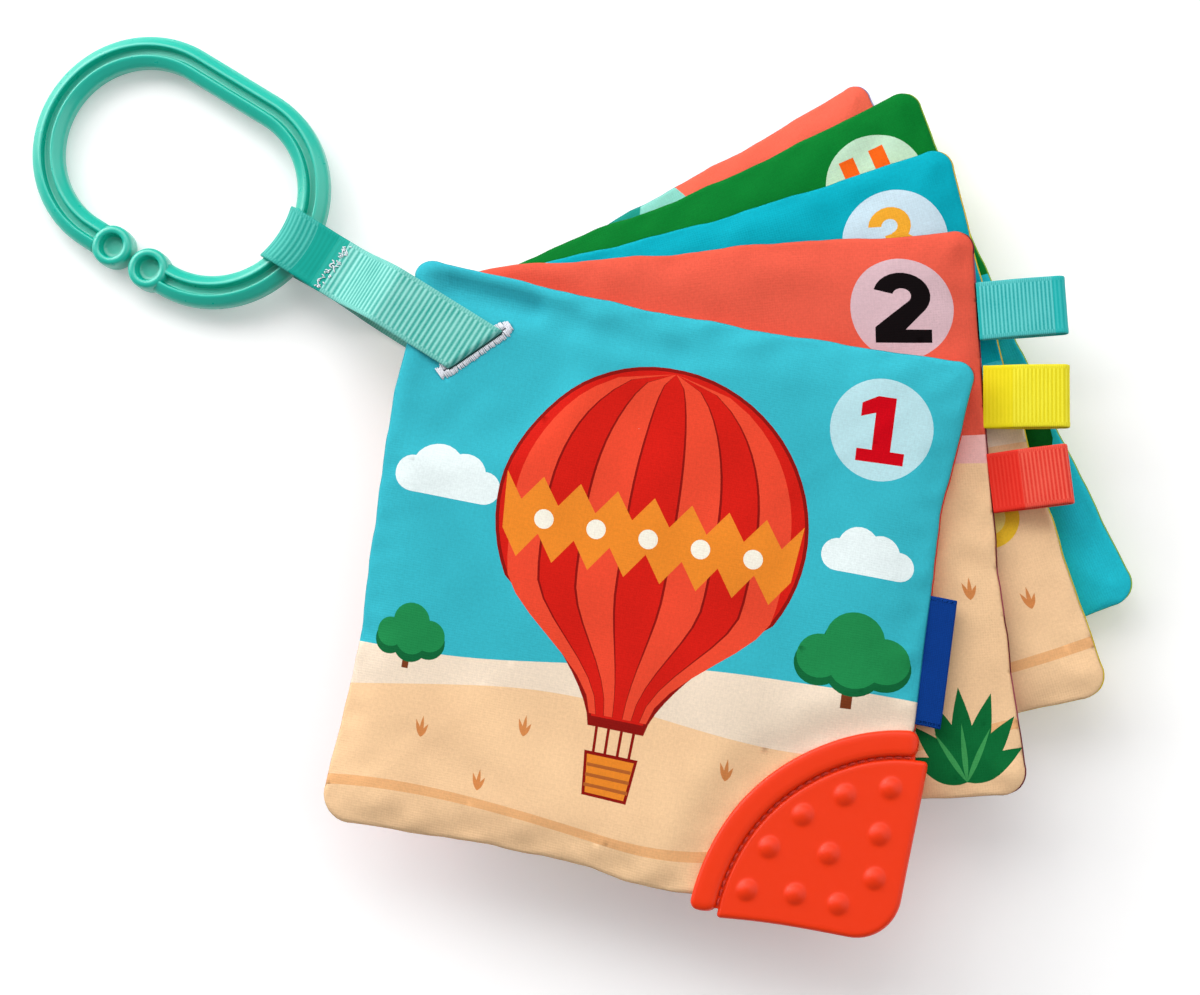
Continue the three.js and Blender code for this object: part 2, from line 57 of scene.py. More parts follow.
# The seam turns each corner a little tighter than the solid: bottom right, top right, top left,
# bottom left
CORNERS = {
    1: (6.5, 4.2, 5.0, 7.2),
    2: (6.0, 4.6, 5.5, 6.0),
    3: (6.0, 5.0, 5.5, 6.0),
    4: (5.6, 5.0, 5.5, 6.0),
    5: (6.0, 4.2, 5.5, 6.0),
}
# How far the middle of a side draws in, how thick a seam is, and how far the page rolls down to it
DRAW_IN = 1.8
SEAM = 1.6
SEAM_ROLL = 14
# The buttonhole: its middle from the page's left side and top, its lean, and the thin flat field
# round it, which blends into the padding
HOLE_SIDE = 17
HOLE_TOP = 20
HOLE_DEGREES = 45
FIELD = 1.8
FIELD_RADIUS = 20
FIELD_BLEND = 12
# From page to page, and from the table to the lowest page's middle
PITCH = 6.4
REST_DEPTH = 2.5
PAGE_MIDDLE = np.array([HALF - HOLE_SIDE, HOLE_TOP - HALF])
# The teether's corner in the top page's frame, its reach, and the arc at which the cloth ends under it
TEETHER = np.array([126, -123])
TEETHER_RADIUS = 49.5
FABRIC_ARC = 44.9
STRAP_DEGREES = 158.8
RIBBON_WIDTH = 14.8
RIBBON_THICK = 0.7
RIB_PITCH = 1.35
SELVEDGE = 1.2
# The ribbon's height on the top page
TOP_Z = 30.25
# The ring's round ends, along the middle of its bar
BEND = 25.3


def smooth(share):
    t = np.clip(share, 0, 1)
    return t * t * (3 - 2 * t)


def page_mid(page):
    return REST_DEPTH + (5 - page) * PITCH


# Meshes


def make_object(name, verts, faces, materials, which=None, uv=None):
    """A mesh object from millimetres, its faces turned outward and shaded smooth. Points that no
    face uses are left out."""
    used = sorted({int(i) for f in faces for i in f})
    place = dict(zip(used, range(len(used))))
    faces = [tuple(place[int(i)] for i in f) for f in faces]
    verts = np.asarray(verts, float)[used]
    uv = None if uv is None else np.asarray(uv, float)[used]
    mesh = bpy.data.meshes.new(name)
    mesh.from_pydata((verts / 1000).tolist(), [], faces)
    for material in materials:
        mesh.materials.append(material)
    if which is not None:
        mesh.polygons.foreach_set("material_index", np.asarray(which, np.int32))
    if uv is not None:
        layer = mesh.uv_layers.new(name="cloth")
        corner = np.empty(len(mesh.loops), np.int32)
        mesh.loops.foreach_get("vertex_index", corner)
        layer.data.foreach_set("uv", (uv[corner] / 1000).astype(np.float32).ravel())
    mesh.polygons.foreach_set("use_smooth", np.ones(len(mesh.polygons), bool))
    work = bmesh.new()
    work.from_mesh(mesh)
    bmesh.ops.recalc_face_normals(work, faces=work.faces)
    work.to_mesh(mesh)
    work.free()
    mesh.update()
    obj = bpy.data.objects.new(name, mesh)
    bpy.context.scene.collection.objects.link(obj)
    return obj


def turn(points, degrees):
    a = radians(degrees)
    c, s = math.cos(a), math.sin(a)
    points = np.asarray(points, float)
    return np.stack([points[..., 0] * c - points[..., 1] * s, points[..., 0] * s + points[..., 1] * c], -1)


# How far each page's corners lie off the square, as on a hand-sewn page: top left, top right,
# bottom right, bottom left, in the page's own X and Y
SKEW = {
    1: [(-2.2, 0), (-1.8, -1.8), (1.8, 1.0), (2.7, 0.9)],
    2: [(0, -1.2), (0, -2.8), (0, 0), (0, 0)],
    3: [(0, 0), (0.9, -1.0), (2.4, -1.0), (0, 0)],
    4: [(0, 0), (0.8, -0.6), (-0.8, 1), (0, 0)],
    5: [(0, 0), (-8, -1.0), (-12, 0), (0, 0)],
}
# Where stitching, the teether or the strap pulls a page's edge: middle, shift, reach
PULLS = {
    1: [((69, -121), (0.2, -2.6), 20), ((123, -77), (1.1, 2.5), 28), ((-17, -15), (-2.0, 0), 15),
        ((-17, -43), (-1.1, 0), 14), ((-17, -83), (0.9, 0), 15), ((-17, 20), (-1.4, 0.3), 12),
        ((123, -16), (-1.0, 0), 17)],
    2: [((7, 20), (0, 1.3), 14), ((30, 20), (0, 3.4), 24), ((72, 20), (0, 3.5), 28),
        ((-17, -120), (0.8, 1.8), 14)],
    3: [((27, 20), (0, 0.9), 20)],
    4: [((30, 20), (0, 2.2), 22)],
    5: [((60, 20), (0, 0.9), 22)],
}


def skewed(page, points):
    """Points of a page moved to the page's slightly uneven shape. The buttonhole stays in place."""
    points = np.asarray(points, float)
    a = np.clip((points[:, 0] + HOLE_SIDE) / SIDE, -0.2, 1.2)
    b = np.clip((HOLE_TOP - points[:, 1]) / SIDE, -0.2, 1.2)
    corners = np.array(SKEW[page], float)
    weights = np.stack([(1 - a) * (1 - b), a * (1 - b), a * b, (1 - a) * b], 1)
    away = np.hypot(points[:, 0], points[:, 1])
    moved = points + (weights @ corners) * smooth((away - 14) / 22)[:, None]
    for middle, shift, reach in PULLS.get(page, []):
        near = np.exp(-np.sum((points - middle) ** 2, 1) / reach**2) * smooth((away - 10) / 6)
        moved = moved + near[:, None] * np.array(shift, float)
    return moved


def off_line(points, start, end):
    """The distance of each point from a straight stretch."""
    start = np.array(start, float)
    d = np.array(end, float) - start
    t = np.clip(((points - start) @ d) / max(d @ d, 1e-12), 0, 1)
    return np.hypot(*(points - start - t[:, None] * d).T)


def distance_to(loop, points):
    """The shortest distance from each point to a closed line."""
    best = np.full(len(points), 1e9)
    for start, end in zip(loop, np.roll(loop, -1, 0)):
        best = np.minimum(best, off_line(points, start, end))
    return best


def page_to_row(page, points):
    """Points of a page's frame, whose origin is the buttonhole's middle, in the row's frame. The
    strap's pull folds the top page's thin corner down a little between the slot and the seam."""
    points = np.asarray(points, float)
    flat = turn(skewed(page, points[:, :2]), FAN[page - 1]) + PIVOT
    z = points[:, 2] + page_mid(page)
    if page == 1:
        z = z - 3.0 * np.exp(-((off_line(points[:, :2], (-8, 14.2), (12, 12.6)) / 3.2) ** 2))
    return np.column_stack([flat, z])


def on_page(page, degrees=0, home=(0, 0)):
    """How a piece goes from its own frame to the row's, when it is turned and set at a place on a page."""

    def place(p):
        return page_to_row(page, np.column_stack([turn(p[:, :2], degrees) + home, p[:, 2]]))

    return place


def strap_to_row(points):
    """Points of the strap's frame, whose X runs from the buttonholes to the ring."""
    points = np.asarray(points, float)
    return np.column_stack([turn(points[:, :2], STRAP_DEGREES) + PIVOT, points[:, 2]])


def inside(loop, points):
    """Which points lie within a closed line."""
    x, y = points[:, 0][:, None], points[:, 1][:, None]
    x0, y0 = loop[:, 0], loop[:, 1]
    x1, y1 = np.roll(x0, -1), np.roll(y0, -1)
    rise = np.where(y1 == y0, 1e-12, y1 - y0)
    crossing = ((y0 > y) != (y1 > y)) & (x < (x1 - x0) * (y - y0) / rise + x0)
    return crossing.sum(1) % 2 == 1


def normals_of(loop):
    """The outward direction at each point of a line that runs anticlockwise."""
    d = np.roll(loop, -1, 0) - np.roll(loop, 1, 0)
    d /= np.maximum(np.hypot(d[:, 0], d[:, 1]), 1e-9)[:, None]
    return np.column_stack([d[:, 1], -d[:, 0]])


def dense(loop, step=2.2, closed=True):
    """A line with points no further apart than the step, so that it can follow a curved face."""
    points = []
    loop = np.asarray(loop, float)
    last = len(loop) if closed else len(loop) - 1
    for i in range(last):
        a, b = loop[i], loop[(i + 1) % len(loop)]
        parts = max(1, math.ceil(np.hypot(*(b - a)) / step))
        points += [a + (b - a) * k / parts for k in range(parts)]
    return np.array(points)


def with_crossings(loop, shapes):
    """The seam line with a point wherever a printed edge meets it, so both covers share its points."""
    result = []
    for i in range(len(loop)):
        a, b = loop[i], loop[(i + 1) % len(loop)]
        d = b - a
        found = [0.0]
        for shape in shapes:
            p, q = shape, np.roll(shape, -1, 0)
            e = q - p
            cross = d[0] * e[:, 1] - d[1] * e[:, 0]
            safe = np.where(np.abs(cross) < 1e-12, 1e-12, cross)
            r = p - a
            t = (r[:, 0] * e[:, 1] - r[:, 1] * e[:, 0]) / safe
            s = (r[:, 0] * d[1] - r[:, 1] * d[0]) / safe
            found += list(t[(np.abs(cross) > 1e-12) & (t > 0.02) & (t < 0.98) & (s >= 0) & (s <= 1)])
        kept = []
        for t in sorted(found):
            if not kept or t - kept[-1] > 0.02:
                kept.append(t)
        result += [a + d * t for t in kept]
    return np.array(result)


def triangulated(loop, hole, shapes, points, clear):
    """Triangles between a seam line and a hole, with the printed shapes' edges among them."""
    verts, edges = [], []
    for line in [loop] + ([hole] if hole is not None else []) + list(shapes):
        first = len(verts)
        verts += [tuple(p) for p in line]
        edges += [(first + i, first + (i + 1) % len(line)) for i in range(len(line))]
    fixed = np.array(verts)
    keep = inside(loop, points)
    for i in range(0, len(points), 400):
        part = points[i : i + 400]
        near = np.hypot(part[:, None, 0] - fixed[:, 0], part[:, None, 1] - fixed[:, 1]).min(1)
        keep[i : i + 400] &= near > clear
    verts += [tuple(p) for p in points[keep]]
    out = delaunay_2d_cdt([Vector(p) for p in verts], edges, [], 0, 1e-3, True)
    flat = np.array([tuple(p) for p in out[0]])
    faces = np.array(out[2])
    middle = flat[faces].mean(1)
    use = inside(loop, middle)
    if hole is not None:
        use &= ~inside(hole, middle)
    faces = faces[use]
    place = {}
    for i, origins in enumerate(out[3]):
        for origin in origins:
            place[origin] = i
    ring = [place[i] for i in range(len(loop))]
    eye = [place[len(loop) + i] for i in range(len(hole))] if hole is not None else []
    return flat, faces, ring, eye


def ink_at(shapes, inks, base, points):
    """The ink of the topmost printed shape over each point."""
    found = np.full(len(points), base)
    for shape, ink in zip(shapes, inks):
        low, high = shape.min(0), shape.max(0)
        near = np.where(np.all((points >= low) & (points <= high), 1))[0]
        if len(near):
            found[near[inside(shape, points[near])]] = ink
    return found


def panel(name, loop, hole, front, back, points, height, tuck, materials, place,
          crease=0.0, clear=0.3, lip=0.0):
    """A closed panel: a front and a back cover joined round a seam and round a hole. Front and
    back are (shapes, inks, base ink), and height(points, way) lifts the front, way 1, and the
    back, way -1. The seam line's crease is tucked in between the two, and on the right side the
    back cover's edge may stand out past the front's as a lip."""
    loop = with_crossings(loop, list(front[0]) + list(back[0]))
    out = normals_of(loop)
    verts, faces, which, uv, rings, eyes = [], [], [], [], [], []
    for (shapes, inks, base), way in ((front, 1), (back, -1)):
        flat, tris, ring, eye = triangulated(loop, hole, shapes, points, clear)
        start = len(verts)
        rings.append([start + i for i in ring])
        eyes.append([start + i for i in eye])
        shown = flat.copy()
        if way < 0:
            shown[ring] += out * lip * smooth((out[:, :1] - 0.3) / 0.5)
        verts += [(x, y, z) for (x, y), z in zip(shown, height(flat, way))]
        uv += [(x * way, y) for x, y in flat]
        faces += [tuple(start + f[::way]) for f in tris]
        which += list(ink_at(shapes, inks, base, flat[tris].mean(1)))
    start = len(verts)
    inward = loop - out * tuck
    verts += [(x, y, crease) for x, y in inward]
    uv += [tuple(p) for p in loop]
    middle = (inward + np.roll(inward, -1, 0)) / 2 - out * 0.3
    count = len(loop)
    for ring, (shapes, inks, base) in zip(rings, (front, back)):
        faces += [(ring[i], ring[(i + 1) % count], start + (i + 1) % count, start + i) for i in range(count)]
        which += list(ink_at(shapes, inks, base, middle))
    count = len(eyes[0])
    for i in range(count):
        j = (i + 1) % count
        faces.append((eyes[0][i], eyes[0][j], eyes[1][j], eyes[1][i]))
        which.append(front[2])
    return make_object(name, place(np.array(verts)), faces, materials, which, uv)


def wrapped(start, rows, count):
    """Faces that join closed rows of points, each row to the next."""
    faces = []
    for i in range(rows - 1):
        for k in range(count):
            a, b = start + i * count + k, start + i * count + (k + 1) % count
            faces.append((a, b, b + count, a + count))
    return faces


def capped(start, rows, count):
    """The same, closed by a face at each end."""
    ends = [tuple(range(first, first + count)) for first in (start, start + (rows - 1) * count)]
    return wrapped(start, rows, count) + ends


def tubes(name, paths, radius, materials, place, up=(0, 0, 1)):
    """Many short lengths of round thread, each with narrowed ends, as one object."""
    verts, faces = [], []
    sides = 6
    for path in paths:
        path = np.asarray(path, float)
        along = np.gradient(path, axis=0)
        along /= np.linalg.norm(along, axis=1)[:, None]
        # The slight offset keeps the sides apart where a thread runs along the given way up
        other = np.cross(along, np.array(up, float) + [0.013, 0.007, 0])
        other /= np.linalg.norm(other, axis=1)[:, None]
        third = np.cross(along, other)
        faces += capped(len(verts), len(path), sides)
        for i, point in enumerate(path):
            size = radius * (0.55 if i in (0, len(path) - 1) else 1)
            for k in range(sides):
                a = 2 * math.pi * k / sides
                verts.append(point + size * (math.cos(a) * other[i] + math.sin(a) * third[i]))
    return make_object(name, place(np.array(verts)), faces, materials)


def sweep(path, across, up, section):
    """Rings of a section along a path, closed at both ends."""
    verts = [p + a * x + u * y for p, a, u in zip(path, across, up) for x, y in section]
    return verts, capped(0, len(path), len(section))


def rounded_curve(points, steps):
    """A closed smooth line through the given points, with this many steps from each to the next."""
    p = np.asarray(points, float)
    result = []
    for i in range(len(p)):
        a, b, c, d = p[i - 1], p[i], p[(i + 1) % len(p)], p[(i + 2) % len(p)]
        for t in np.arange(steps) / steps:
            cubic = (2 * a - 5 * b + 4 * c - d) * t**2 + (3 * b - a - 3 * c + d) * t**3
            result.append(0.5 * (2 * b + (c - a) * t + cubic))
    return np.array(result)


def even_line(points, step):
    """A line again, with its points a step apart along it."""
    points = np.asarray(points, float)
    length = np.concatenate([[0], np.cumsum(np.linalg.norm(np.diff(points, axis=0), axis=1))])
    count = max(2, int(round(length[-1] / step)) + 1)
    s = np.linspace(0, length[-1], count)
    return np.column_stack([np.interp(s, length, points[:, k]) for k in range(points.shape[1])])


def grid_faces(start, rows, columns):
    """Faces of a plain grid of points."""
    return [(a + j, a + j + 1, a + j + 1 + columns, a + j + columns)
            for a in range(start, start + (rows - 1) * columns, columns) for j in range(columns - 1)]


def ribbon(name, line, width, thick, materials, place, pitch=RIB_PITCH, rib=0.09, ribs=None, lean=None,
           bow=None, columns=13, selvedge=SELVEDGE, pressed=None, stretch=None):
    """Grosgrain ribbon along a line seen from its side (x, z). Its ribs cross its width, and stop
    at a flat selvedge on each side. Each of these takes x and the length s so far: ribs says how
    high they stand, lean slants the ribbon's end in its plane, bow curves it with the ring's bar,
    stretch sets the ribs wider apart where the ribbon is pulled, and pressed picks the material."""
    line = even_line(line, 0.18)
    x = line[:, 0]
    s = np.concatenate([[0], np.cumsum(np.hypot(*np.diff(line, axis=0).T))])
    along = np.gradient(line, axis=0)
    along /= np.linalg.norm(along, axis=1)[:, None]
    out = np.column_stack([-along[:, 1], along[:, 0]])
    half = width / 2
    edges = [-1, -0.985, -0.93, -(half - selvedge) / half, -(half - selvedge - 0.25) / half]
    inner = np.linspace(edges[-1], -edges[-1], columns)
    y = np.concatenate([edges[:-1], inner, [-e for e in edges[:-1]][::-1]]) * half
    body = 1 - smooth((np.abs(y) - (half - selvedge - 0.3)) / 0.4)
    edge = np.sqrt(np.clip((half - np.abs(y)) / 0.25, 0, 1))
    spread = np.ones(len(s)) if stretch is None else stretch(x, s)
    run = np.concatenate([[0], np.cumsum(np.diff(s) / spread[1:])])
    k = np.zeros(len(s)) if lean is None else lean(x, s)
    shift = k[:, None] * y[None, :]
    # The ribs stay square to the ribbon where its end is cut on the slant
    run = run[:, None] + shift / spread[:, None]
    wave = 0.5 + 0.5 * np.cos(2 * math.pi * run / pitch)
    strength = np.ones(len(s)) if ribs is None else ribs(x, s)
    relief = rib * wave * body * strength[:, None] + rib * 0.4 * (1 - body)
    relief += 0.03 * (1 - body) * np.sin(2 * math.pi * run / (pitch * 0.53))
    depth = thick / 2 * (0.35 + 0.65 * edge)[None, :] + relief - rib / 2
    if bow is not None:
        shift = shift + bow(x, s)[:, None] * (BEND - np.sqrt(BEND**2 - y**2) - 0.65)[None, :]
    n, m = len(s), len(y)
    sides = [
        np.stack([line[:, :1] + way * out[:, :1] * depth + shift, np.broadcast_to(y, (n, m)),
                  line[:, 1:] + way * out[:, 1:] * depth], -1).reshape(-1, 3)
        for way in (1, -1)
    ]
    uv = np.stack([run, np.broadcast_to(y, (n, m))], -1).reshape(-1, 2)
    faces = grid_faces(0, n, m) + grid_faces(n * m, n, m)
    faces += [(a, a + m, a + m + n * m, a + n * m) for i in range(n - 1) for a in (i * m, i * m + m - 1)]
    for row in (0, (n - 1) * m):
        faces += [(a, a + 1, a + 1 + n * m, a + n * m) for a in range(row, row + m - 1)]
    which = None
    if pressed is not None:
        row = (np.array([f[0] for f in faces]) % (n * m)) // m
        which = pressed(x, s)[row].astype(int)
    return make_object(name, place(np.concatenate(sides)), faces, materials, which, np.concatenate([uv, uv]))


def ripple(points, seed, wavelength, count=7):
    """Slow waves in seeded directions, about 1 high."""
    rng = np.random.default_rng(seed)
    total = np.zeros(len(points))
    for _ in range(count):
        a, w, phase = rng.uniform(0, math.pi), wavelength * rng.uniform(0.7, 1.5), rng.uniform(0, 6.3)
        total += np.sin((points[:, 0] * math.cos(a) + points[:, 1] * math.sin(a)) * 2 * math.pi / w + phase)
    return total / math.sqrt(count)


# Materials


def linear(code):
    """A colour written as six hex digits, as the linear values that Blender takes."""
    values = [int(code[i : i + 2], 16) / 255 for i in (1, 3, 5)]
    return tuple(v / 12.92 if v <= 0.04045 else ((v + 0.055) / 1.055) ** 2.4 for v in values) + (1,)


def feed(tree, node, inputs):
    """An input is given a value, a socket, or a node, which feeds it from its first output in use."""
    for key, value in inputs.items():
        if isinstance(value, bpy.types.Node):
            value = next(output for output in value.outputs if output.enabled)
        if isinstance(value, bpy.types.NodeSocket):
            tree.links.new(value, node.inputs[key])
        else:
            node.inputs[key].default_value = value


def add(tree, kind, inputs=None, **settings):
    """A node with its settings and its inputs."""
    node = tree.nodes.new("ShaderNode" + kind)
    for key, value in settings.items():
        setattr(node, key, value)
    feed(tree, node, inputs or {})
    return node


def new_material(name, values):
    material = bpy.data.materials.new(name)
    material.use_nodes = True
    shader = material.node_tree.nodes["Principled BSDF"]
    feed(material.node_tree, shader, values)
    return material, material.node_tree, shader


def shaded(code, share):
    """A colour made darker, below 1, or brighter, above it."""
    return tuple(min(c * share, 1) for c in linear(code)[:3]) + (1,)


def toned(tree, level, low, high, dark, light):
    """The colour that goes from a dark tone to a light one as a level rises."""
    share = add(tree, "MapRange", {0: level, 1: low, 2: high, 3: 0.0, 4: 1.0})
    return add(tree, "Mix", {0: share, 6: dark, 7: light}, data_type="RGBA")


def surface(tree, shader, colour, relief, strength, deep=0.0001):
    """Gives a finish its colour, and the fine relief that catches the light, in metres deep."""
    bump = add(tree, "Bump", {"Height": relief, "Strength": strength, "Distance": deep})
    feed(tree, shader, {"Base Color": colour, "Normal": bump})


def threads(tree, scale, where):
    """Two sets of fine parallel threads that cross, as one height."""
    sets = [add(tree, "TexWave", {"Vector": where, "Scale": scale, "Distortion": 2.6, "Detail": 1.0,
                                  "Detail Scale": 2.0}, wave_type="BANDS", bands_direction=way).outputs["Fac"]
            for way in "XY"]
    return add(tree, "Math", {0: sets[0], 1: sets[1]}, operation="ADD")


INKS = {}


def printed_cloth(code):
    """Brushed polyester with a transfer print. The weave is real thread, about 0.5 mm apart, drawn
    at 0.6 mm so that it still shows: it breaks the colour into a fine grain. A slow mottle is how
    the dye takes unevenly, and the sheen is the brushed nap, which pales where it turns away."""
    if code in INKS:
        return INKS[code]
    material, tree, shader = new_material("printed_brushed_polyester_" + code[1:], {
        "Roughness": 0.75, "Sheen Weight": 0.015, "Sheen Roughness": 0.4, "Sheen Tint": shaded(code, 1.3),
        "Specular IOR Level": 0.06})
    where = add(tree, "UVMap", uv_map="cloth")
    weave = threads(tree, 520, where)
    speckle = add(tree, "TexNoise", {"Vector": where, "Scale": 1300, "Detail": 2.0, "Roughness": 0.7})
    mottle = add(tree, "TexNoise", {"Vector": where, "Scale": 55, "Detail": 3.0})
    grain = add(tree, "Math", {0: weave, 1: 0.07, 2: speckle}, operation="MULTIPLY_ADD")
    grain = add(tree, "Math", {0: mottle, 1: 0.8, 2: grain}, operation="MULTIPLY_ADD")
    relief = add(tree, "Math", {0: speckle, 1: 0.9, 2: weave}, operation="MULTIPLY_ADD")
    surface(tree, shader, toned(tree, grain, 0.65, 1.5, shaded(code, 0.86), shaded(code, 1.1)), relief, 0.2)
    INKS[code] = material
    return material


def grosgrain(name, valley, ridge, pitch=RIB_PITCH, width=RIBBON_WIDTH):
    """Ribbed polyester ribbon. The ribs are geometry, and their light is also painted into the colour:
    deeper between them, a painted shade where little light gets in, and paler on the crests, a painted
    highlight. The selvedges are plain, broken into small dashes where the weft turns, and fine strands
    give each rib its slant."""
    material, tree, shader = new_material(name, {
        "Roughness": 0.5, "Sheen Weight": 0.04, "Sheen Roughness": 0.35, "Sheen Tint": shaded(ridge, 1.2),
        "Specular IOR Level": 0.16})
    where = add(tree, "UVMap", uv_map="cloth")
    split = add(tree, "SeparateXYZ", {0: where})
    turns = add(tree, "Math", {0: split.outputs[0], 1: 2 * math.pi * 1000 / pitch}, operation="MULTIPLY")
    wave = add(tree, "Math", {0: turns}, operation="COSINE")
    wave = add(tree, "Math", {0: wave, 1: 0.5, 2: 0.5}, operation="MULTIPLY_ADD")
    rib = add(tree, "Math", {0: wave, 1: 1.3}, operation="POWER")
    side = add(tree, "Math", {0: split.outputs[1]}, operation="ABSOLUTE")
    inner = (width / 2 - SELVEDGE) / 1000
    plain = add(tree, "MapRange", {0: side, 1: inner, 2: inner + 0.00015, 3: 0.0, 4: 1.0})
    weft = add(tree, "Math", {0: turns, 1: 1.9}, operation="MULTIPLY")
    weft = add(tree, "Math", {0: weft}, operation="SINE")
    dashes = add(tree, "Math", {0: weft, 1: 0.22, 2: 0.42}, operation="MULTIPLY_ADD")
    level = add(tree, "Mix", {0: plain, 2: rib, 3: dashes})
    strands = add(tree, "TexNoise", {"Vector": where, "Scale": 2200, "Detail": 2.0})
    slow = add(tree, "TexNoise", {"Vector": where, "Scale": 120, "Detail": 2.0})
    level = add(tree, "Math", {0: strands, 1: 0.5, 2: level}, operation="MULTIPLY_ADD")
    level = add(tree, "Math", {0: slow, 1: 0.5, 2: level}, operation="MULTIPLY_ADD")
    # The valley tone is painted shade and the ridge tone a painted highlight
    surface(tree, shader, toned(tree, level, 0.35, 1.45, linear(valley), linear(ridge)), strands, 0.3)
    return material


def sewing_thread(name, code):
    """Twisted polyester thread. It is shiny, and its fine uneven grain is the twist of its strands."""
    material, tree, shader = new_material(name, {"Roughness": 0.42, "Sheen Weight": 0.25,
                                                 "Specular IOR Level": 0.45})
    where = add(tree, "TexCoord").outputs["Object"]
    strands = add(tree, "TexNoise", {"Vector": where, "Scale": 2600, "Detail": 2.0})
    colour = add(tree, "Mix", {0: strands, 6: shaded(code, 0.82), 7: linear(code)}, data_type="RGBA")
    surface(tree, shader, colour, strands, 0.4)
    return material


def moulded(name, code, roughness, grain, spread, soft, gloss):
    """A moulded piece. Its slow colour change is how the melt flowed, and its fine grain is the
    mould's spark-eroded face, which breaks up the highlight."""
    material, tree, shader = new_material(name, {
        "Roughness": roughness, "Specular IOR Level": gloss, "Subsurface Weight": soft,
        "Subsurface Scale": 0.002, "Subsurface Radius": (1.0, 0.4, 0.25)})
    where = add(tree, "TexCoord").outputs["Object"]
    flow = add(tree, "TexNoise", {"Vector": where, "Scale": 45, "Detail": 2.0})
    fine = add(tree, "TexNoise", {"Vector": where, "Scale": grain, "Detail": 2.0})
    tones = shaded(code, 1 - spread), shaded(code, 1 + spread * 0.35)
    colour = add(tree, "Mix", {0: flow, 6: tones[0], 7: tones[1]}, data_type="RGBA")
    worn = add(tree, "MapRange", {0: fine, 1: 0.3, 2: 0.7, 3: roughness - 0.03, 4: roughness + 0.03})
    feed(tree, shader, {"Roughness": worn})
    surface(tree, shader, colour, fine, 0.015)
    return material


def woven_tape(name, code):
    """Damask label tape. Its threads lie 0.35 mm apart and are drawn at 0.45 mm so that they still
    show: they break the colour into a fine grain, with painted shade darker between them."""
    material, tree, shader = new_material(name, {"Roughness": 0.6, "Specular IOR Level": 0.05})
    where = add(tree, "UVMap", uv_map="cloth")
    weave = threads(tree, 700, where)
    slow = add(tree, "TexNoise", {"Vector": where, "Scale": 160, "Detail": 2.0})
    level = add(tree, "Math", {0: slow, 1: 0.8, 2: weave}, operation="MULTIPLY_ADD")
    # The darker tone between the threads is painted shade
    surface(tree, shader, toned(tree, level, 0.4, 2.0, shaded(code, 0.7), shaded(code, 1.06)), weave, 0.35,
            0.00012)
    return material


def needled_wadding():
    """Needled polyester wadding: a matt mat of tangled fibre, uneven in depth and tone."""
    material, tree, shader = new_material("needled_polyester_wadding", {
        "Roughness": 0.95, "Sheen Weight": 0.5})
    where = add(tree, "TexCoord").outputs["Object"]
    fibre = add(tree, "TexNoise", {"Vector": where, "Scale": 900, "Detail": 4.0, "Roughness": 0.75})
    colour = add(tree, "Mix", {0: fibre, 6: linear("#d9d6cb"), 7: linear("#f7f5ee")}, data_type="RGBA")
    surface(tree, shader, colour, fibre, 0.8, 0.0005)
    return material


def crinkle_film():
    """Blown polyester film that rustles: glossy, with the small facets it keeps once crumpled."""
    material, tree, shader = new_material("crumpled_polyester_film", {
        "Roughness": 0.2, "Specular IOR Level": 0.6})
    where = add(tree, "TexCoord").outputs["Object"]
    facets = add(tree, "TexVoronoi", {"Vector": where, "Scale": 160}, feature="F1")
    colour = add(tree, "Mix", {0: facets, 6: linear("#dfe6ea"), 7: linear("#c3d0d8")}, data_type="RGBA")
    surface(tree, shader, colour, facets, 0.7, 0.0006)
    return material


# Printed pictures, drawn in a page's own millimetres: u from its left side, v down from its top


def circle(u, v, r, count=40, stretch=1.0, lean=0.0):
    a = np.linspace(0, 2 * math.pi, count, endpoint=False)
    return turn(np.column_stack([r * np.cos(a), r * stretch * np.sin(a)]), lean) + [u, v]


def band(u, v, inner, outer, start, end, count=16):
    """Part of a ring, its angles in degrees clockwise from the right."""
    a = np.radians(np.linspace(start, end, count))
    rim = np.column_stack([np.cos(a), np.sin(a)])
    return np.concatenate([rim * outer, rim[::-1] * inner]) + [u, v]


def bar(u0, v0, u1, v1, width):
    a, b = np.array([u0, v0], float), np.array([u1, v1], float)
    d = (b - a) / np.hypot(*(b - a))
    n = np.array([-d[1], d[0]]) * width / 2
    return np.array([a + n, b + n, b - n, a - n])


def leaf(u, v, length, width, lean):
    t = np.linspace(0, 1, 12)
    side = np.sin(math.pi * t**0.8) * width / 2
    line = np.column_stack([t * length, side])
    return turn(np.concatenate([line, (line * [1, -1])[::-1][1:-1]]), lean) + [u, v]


def ground(left, right, sway, phase, down=150):
    """Everything below a gently waving line across the page."""
    u = np.linspace(-8, 148, 40)
    v = left + (right - left) * u / SIDE + sway * np.sin(u / 21 + phase)
    return np.concatenate([np.column_stack([u, v]), [[148, down], [-8, down]]])


def shape_of(points):
    return np.array(points, float)


def box(u0, v0, u1, v1):
    return shape_of([[u0, v0], [u1, v0], [u1, v1], [u0, v1]])


